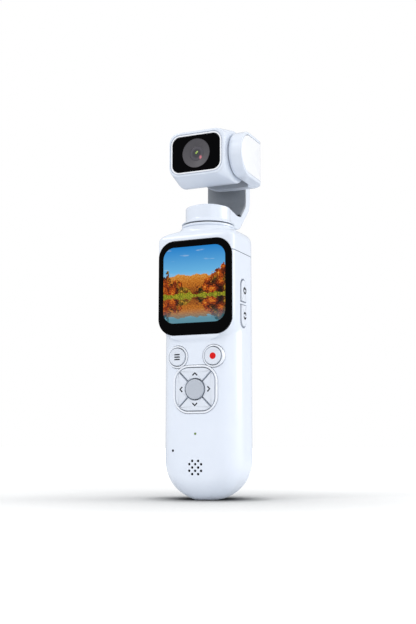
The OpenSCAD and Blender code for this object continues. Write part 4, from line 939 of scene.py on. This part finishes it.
# painted shade: the back plate's face towards the camera is grey, and the band under it a lighter grey
rollFrame.data.materials.append(finish["plate"])
rollFrame.data.materials.append(finish["centreKey"])
for face in rollFrame.data.polygons:
    ahead = face.center.y / mm - roll.back
    if face.center.x < (roll.x - 0.3) * mm and (abs(ahead) < 0.1 or 0 < ahead < 2.0 and face.normal.z < -0.2):
        face.material_index = 1 if abs(ahead) < 0.1 else 2
capSteps = [(0.0, roll.capX + 0.02), (0.0, roll.out - 0.2), (0.05, roll.out - 0.08), (0.14, roll.out - 0.02),
            (0.3, roll.out)]
addPiece("side_cap", steppedPlate(capOutline(0), capSteps, "side"), "cap", "roll_frame",
         ["frame_side_cap"])
print("roll frame and cap made")


head = Settings(
    half=10.35, more=0.35, front=10.4, height=8.0, corner=3.6, r=9.3, end=0.8, edge=0.35, wall=1.2, lower=0.2,
    windowHalf=9.05, windowHeight=6.4, windowCorner=2.8, windowLower=0.31, seat=0.85, gap=0.08)
lensZ = arm.axis - head.windowLower


# The camera's rings run from front to back, t inside its surface: places and half heights. They round the
# front edge, follow the tangent from there to the circle of the back, then the circle itself
def cameraRings(t):
    r, front, low, edge = head.r - t, head.front - t, head.height - t, head.edge
    tangentAt = np.arctan2(low, -front) - np.arccos(np.clip(r / np.hypot(front, low), -1, 1))
    s = np.radians(np.linspace(90, 0, 6))
    ys, hs = edge * (1 - np.sin(s)) - front, low - edge + edge * np.cos(s)
    run = np.linspace(0, 1, 9)[1:]
    sweep = np.linspace(tangentAt, 0.0, 34)[1:]
    ys = np.concatenate([ys, ys[5] + (r * np.cos(tangentAt) - ys[5]) * run, r * np.cos(sweep)])
    hs = np.concatenate([hs, hs[5] + (r * np.sin(tangentAt) - hs[5]) * run, r * np.sin(sweep)])
    return ys, np.maximum(hs, 0.02)


# Each ring is a rounded rectangle: its half width draws in round the front edge and, as a quarter round of
# radius end, where the round back closes; its corners shrink evenly towards the back
def cameraForm(t):
    ys, hs = cameraRings(t)
    along = np.clip((ys + head.front) / (head.front * 0.8), 0, 1)
    corner = np.minimum((head.corner - t) * (1 - along) + head.end * along, hs * 0.98)
    reach = np.clip((ys - (head.r - t - head.end)) / head.end, 0, 1)
    half = head.half - t - (head.end - head.end * np.sqrt(np.maximum(1 - reach ** 2, 0)))
    step = np.minimum(np.arange(len(ys)), 5)
    shrink = head.edge * (1 - np.sin(np.radians(90 * step / 5)))
    ring = roundedRing(-(half - shrink), half + head.more - shrink, -hs, hs, corner, arc=12, run=8)
    return loft(onPlane(ring, ys[:, None], "front") + [0, 0, arm.axis - head.lower])


# The camera window's outline, grown outwards
def windowRing(grow):
    return boxOutline(0, lensZ, head.windowHalf + grow, head.windowHeight + grow, head.windowCorner + grow)


y = -head.front
camera = makeObject("camera_shell", cameraForm(0.0))
carve(camera, cameraForm(head.wall))
carve(camera, prism(windowRing(head.gap), -12.0, y + head.seat, "front"),
      prism(windowRing(-1.0), -12.0, -8.0, "front"))
# the bezel: a bright ring round the window in a groove that leaves one fine line outside it
groove = [(0.03, y - 0.5), (0.03, y + 0.5), (0.9, y + 0.5), (0.9, y - 0.5)]
carve(camera, hoopAlong(windowRing(0.0), groove, "front"))
bezel = [(0.08, y + 0.52), (0.08, y), (0.13, y - 0.05), (0.49, y - 0.05), (0.55, y), (0.55, y + 0.52)]
addPiece("window_bezel", hoopAlong(windowRing(0.0), bezel, "front"), "cap", "camera")
dress(camera, "shell", "camera", ["camera_front_shell", "camera_rear_shell"])

# The rings are the mounts seen through the front lens, by share of its radius. A glint is a painted
# reflection of the coating: it has its place, its radius, how much narrower it is each way, and its colour
lens = Settings(
    r=5.2, inner=2.6, dish=0.55,
    rings=[(0.0, "#343338"), (0.2, "#36373a"), (0.3, "#4a494e"), (0.4, "#3e3d42"), (0.62, "#4d4b50"),
           (0.72, "#57545a"), (1.0, "#565358")],
    glints=[(-0.15, 0.15, 0.55, (1.1, 1, 1.1), "#9fc04a"), (0.25, 0.55, 0.5, (1.1, 1, 1.2), "#b4d25c"),
            (1.5, -1.55, 0.85, (1.2, 1, 0.85), "#c2606a")])
windowSteps = [(0.0, y + head.seat), (0.0, y + 0.15), (0.05, y + 0.06), (0.15, y + 0.02), (0.35, y + 0.02)]
window = makeObject("camera_window_glass", steppedPlate(windowRing(0.0), windowSteps, "front"))
carve(window, roundBar(0, lensZ, lens.r + 0.06, -12.0, -9.4, "front", 96))
dress(window, "glass", "camera", ["camera_window"])
# The plate round the lens: a shallow dish with fine turned rings and a raised lip round the front element
dishRadii = np.linspace(lens.r - 0.25, lens.inner + 0.35, 26)
share = (lens.r - dishRadii) / (lens.r - lens.inner)
dishLevel = 10.34 - lens.dish * share + 0.006 * np.cos(share * 2 * np.pi * 7)
plate = [(4.0, 9.3), (lens.r, 9.6), (lens.r, 10.3), (lens.r - 0.08, 10.38), *zip(dishRadii, dishLevel),
         (lens.inner + 0.15, 9.78), (lens.inner + 0.03, 9.79), (lens.inner, 9.72), (lens.inner, 9.3),
         (0.5, 9.3)]
addPiece("lens_plate", turnedToFront(plate, 0, lensZ, 96), "lensPlate", "camera",
         sharp=60)


# Coated front lens: dark rings of the mounts behind it, worked out from the distance to the lens axis, under a
# green and a pink glint, each a glowing soft spot at its own place: painted reflections of the coating
def lensFinish():
    material, tree, shader, place = startFinish("coated_front_lens_painted_glints", {
        "Roughness": 0.15, "IOR": 1.5, "Specular IOR Level": 0.2, "Emission Strength": 1.0})
    rows = [("flat", "minus", "place", (0, 0, lensZ * mm)), ("flat", "times", "flat", (1, 0, 1)),
            ("away", "length", "flat"), ("away", "MULTIPLY", "away", 1 / (lens.inner * mm)),
            ("rings", "ramp", "away", lens.rings)]
    # The glints are painted reflections: glowing spots of colour on the lens
    glow = "#000000"
    for x, z, size, stretch, colour in lens.glints:
        rows += [("to", "minus", "flat", (x * mm, 0, z * mm)), ("to", "times", "to", stretch),
                 ("away", "length", "to"), ("share", "step", "away", size * mm, 0.2 * size * mm),
                 ("glow", "mix", "share", glow, colour)]
        glow = "glow"
    made = addRows(tree, {"place": place}, rows)
    tree.links.new(made["rings"], shader.inputs["Base Color"])
    tree.links.new(made["glow"], shader.inputs["Emission Color"])
    return material


bulge = np.linspace(np.pi / 2, 0.12, 12)
dome = [(lens.inner - 0.02, 9.32), *zip((lens.inner - 0.02) * np.sin(bulge), 9.7 + 0.14 * np.cos(bulge))]
finish["frontLens"] = lensFinish()
addPiece("front_lens", turnedToFront(dome, 0, lensZ, 72), "frontLens", "camera", sharp=60)
print("camera body, window and lens made")


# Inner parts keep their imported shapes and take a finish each
inner = {
    "steel": "dome_switches battery_tray tray_screws microphone usb_port card_reader pan_stator "
             "pan_bearings pan_shaft roll_stator roll_bearings roll_shaft rotor_screws tilt_stator "
             "tilt_bearings tilt_shaft",
    "board": "main_board key_board side_key_board sensor_board", "copper": "pan_coils roll_coils tilt_coils",
    "magnet": "pan_magnet_ring roll_magnet_ring tilt_magnet_ring", "rotor": "roll_rotor tilt_rotor",
    "blackPart": "speaker_driver lens_barrel", "glass": "display_panel", "battery": "battery",
    "lightPipe": "led_light_pipe", "brass": "tripod_insert", "lens": "lens_elements",
    "sensor": "image_sensor"}
for kind, names in inner.items():
    for name in names.split():
        materials = bpy.data.objects[name].data.materials
        materials.clear()
        materials.append(finish[kind])
print("inner parts finished:", sum(len(names.split()) for names in inner.values()))


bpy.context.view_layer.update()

view = Settings(eye=(135.65, -300.86, 18.38), look=(-0.4073, 0.9029, 0.1374), lens=55.07)
lensCamera = bpy.data.cameras.new("photo_camera")
lensCamera.lens, lensCamera.sensor_width = view.lens, 36
lensCamera.clip_start, lensCamera.clip_end = 0.01, 20
photoCamera = bpy.data.objects.new("photo_camera", lensCamera)
bpy.context.scene.collection.objects.link(photoCamera)
photoCamera.location = Vector(view.eye) * mm
photoCamera.rotation_euler = Vector(view.look).to_track_quat("-Z", "Y").to_euler()
bpy.context.scene.camera = photoCamera

# The studio, in metres. Each light has its place, the height that it aims at, its size and its power. Ramps
# are pairs of distance and value; the shades are how far the paper looks for the object's foot
studio = Settings(
    lights={"right_light": ((0.62, 0.32, 0.28), 0.06, 0.45, 2.1),
            "right_front_light": ((0.6, -0.45, 0.30), 0.06, 0.4, 0.35),
            "left_top_light": ((-0.35, -0.45, 0.55), 0.05, 0.15, 0.6)},
    surround="#fbfcff", surroundFrom=(-0.1, 1.04), surroundTo=(0.8, 0.5), paperHalf=4.0, glowFrom=(0.06, 0.0),
    glowTo=(0.5, 0.6), nearShade=0.012, wideShade=0.06, wideShadePower=1.6,
    bounceReach=0.25, bounce=[(0.06, "#d4d6d8"), (0.2, "#f8f9fb"), (1.0, "#c2c6cb")])
for name, (spot, aim, size, power) in studio.lights.items():
    light = bpy.data.lights.new(name, "AREA")
    light.shape, light.size, light.size_y, light.energy = "RECTANGLE", size, size, power
    holder = bpy.data.objects.new(name, light)
    holder.location = spot
    holder.rotation_euler = (Vector((0, 0, aim)) - Vector(spot)).to_track_quat("-Z", "Y").to_euler()
    bpy.context.scene.collection.objects.link(holder)


# Rays from the camera see one shader, and all other light meets another
def splitForCamera(tree, seen, unseen, output):
    direct = addNode(tree, "ShaderNodeLightPath").outputs["Is Camera Ray"]
    choice = addNode(tree, "ShaderNodeMixShader", {0: direct, 1: unseen, 2: seen})
    tree.links.new(choice.outputs[0], tree.nodes[output].inputs["Surface"])


# A value that runs evenly from one (distance, value) pair to the next
def evenly(tree, value, start, end):
    values = {0: value, 1: start[0], 2: end[0], 3: start[1], 4: end[1]}
    return addNode(tree, "ShaderNodeMapRange", values).outputs[0]


# The surroundings are dimmer behind the object, so that its far edges stand out softly from the white; the
# camera itself sees plain white
world = bpy.data.worlds.new("studio_world")
world.use_nodes = True
bpy.context.scene.world = world
tree = world.node_tree
backdrop = tree.nodes["Background"]
backdrop.inputs["Color"].default_value = linearColour(studio.surround)
around = addNode(tree, "ShaderNodeTexCoord").outputs["Generated"]
toward = addNode(tree, "ShaderNodeSeparateXYZ", {0: around}).outputs["Y"]
tree.links.new(evenly(tree, toward, studio.surroundFrom, studio.surroundTo), backdrop.inputs["Strength"])
plain = addNode(tree, "ShaderNodeBackground", {"Color": linearColour("#ffffff"), "Strength": 1.0})
splitForCamera(tree, plain.outputs[0], backdrop.outputs[0], "World Output")

# Matt white paper, glowing more with distance so that it meets the white backdrop. A soft shade lies round
# the foot, from how open the paper is within the two shade distances, and it sends less light up than it
# shows
corners = np.array([(-1, -1, 0), (1, -1, 0), (1, 1, 0), (-1, 1, 0)]) * studio.paperHalf / mm
floor = makeObject("studio_floor", (corners, [[0, 1, 2, 3]]))
paper = cloudyFinish("white_paper_sweep", "#fbfbf9", "#f9f9f7", (0.8, 0.9), 60, 0.0,
                     {"Emission Color": linearColour("#ffffff"), "Specular IOR Level": 0.1})
tree = paper.node_tree
shader = tree.nodes["Principled BSDF"]
near, wide = [addNode(tree, "ShaderNodeAmbientOcclusion", {"Distance": reach}, samples=8).outputs["AO"]
              for reach in (studio.nearShade, studio.wideShade)]
made = addRows(tree, {
    "place": addNode(tree, "ShaderNodeTexCoord").outputs["Object"], "near": near, "wide": wide,
    "paper": shader.inputs["Base Color"].links[0].from_socket}, [
    ("far", "length", "place"), ("reach", "MULTIPLY", "far", 1 / studio.bounceReach),
    ("bounce", "ramp", "reach", studio.bounce), ("wide", "POWER", "wide", studio.wideShadePower),
    ("open", "MULTIPLY", "near", "wide"), ("shaded", "mix", "open", "#000000", "paper")])
tree.links.new(made["shaded"], shader.inputs["Base Color"])
tree.links.new(evenly(tree, made["far"], studio.glowFrom, studio.glowTo), shader.inputs["Emission Strength"])
dim = addNode(tree, "ShaderNodeBsdfDiffuse", {"Color": made["bounce"]})
splitForCamera(tree, shader.outputs[0], dim.outputs[0], "Material Output")
floor.data.materials.append(paper)
bpy.context.scene.view_settings.view_transform = "Standard"
print("camera, lights and floor set")
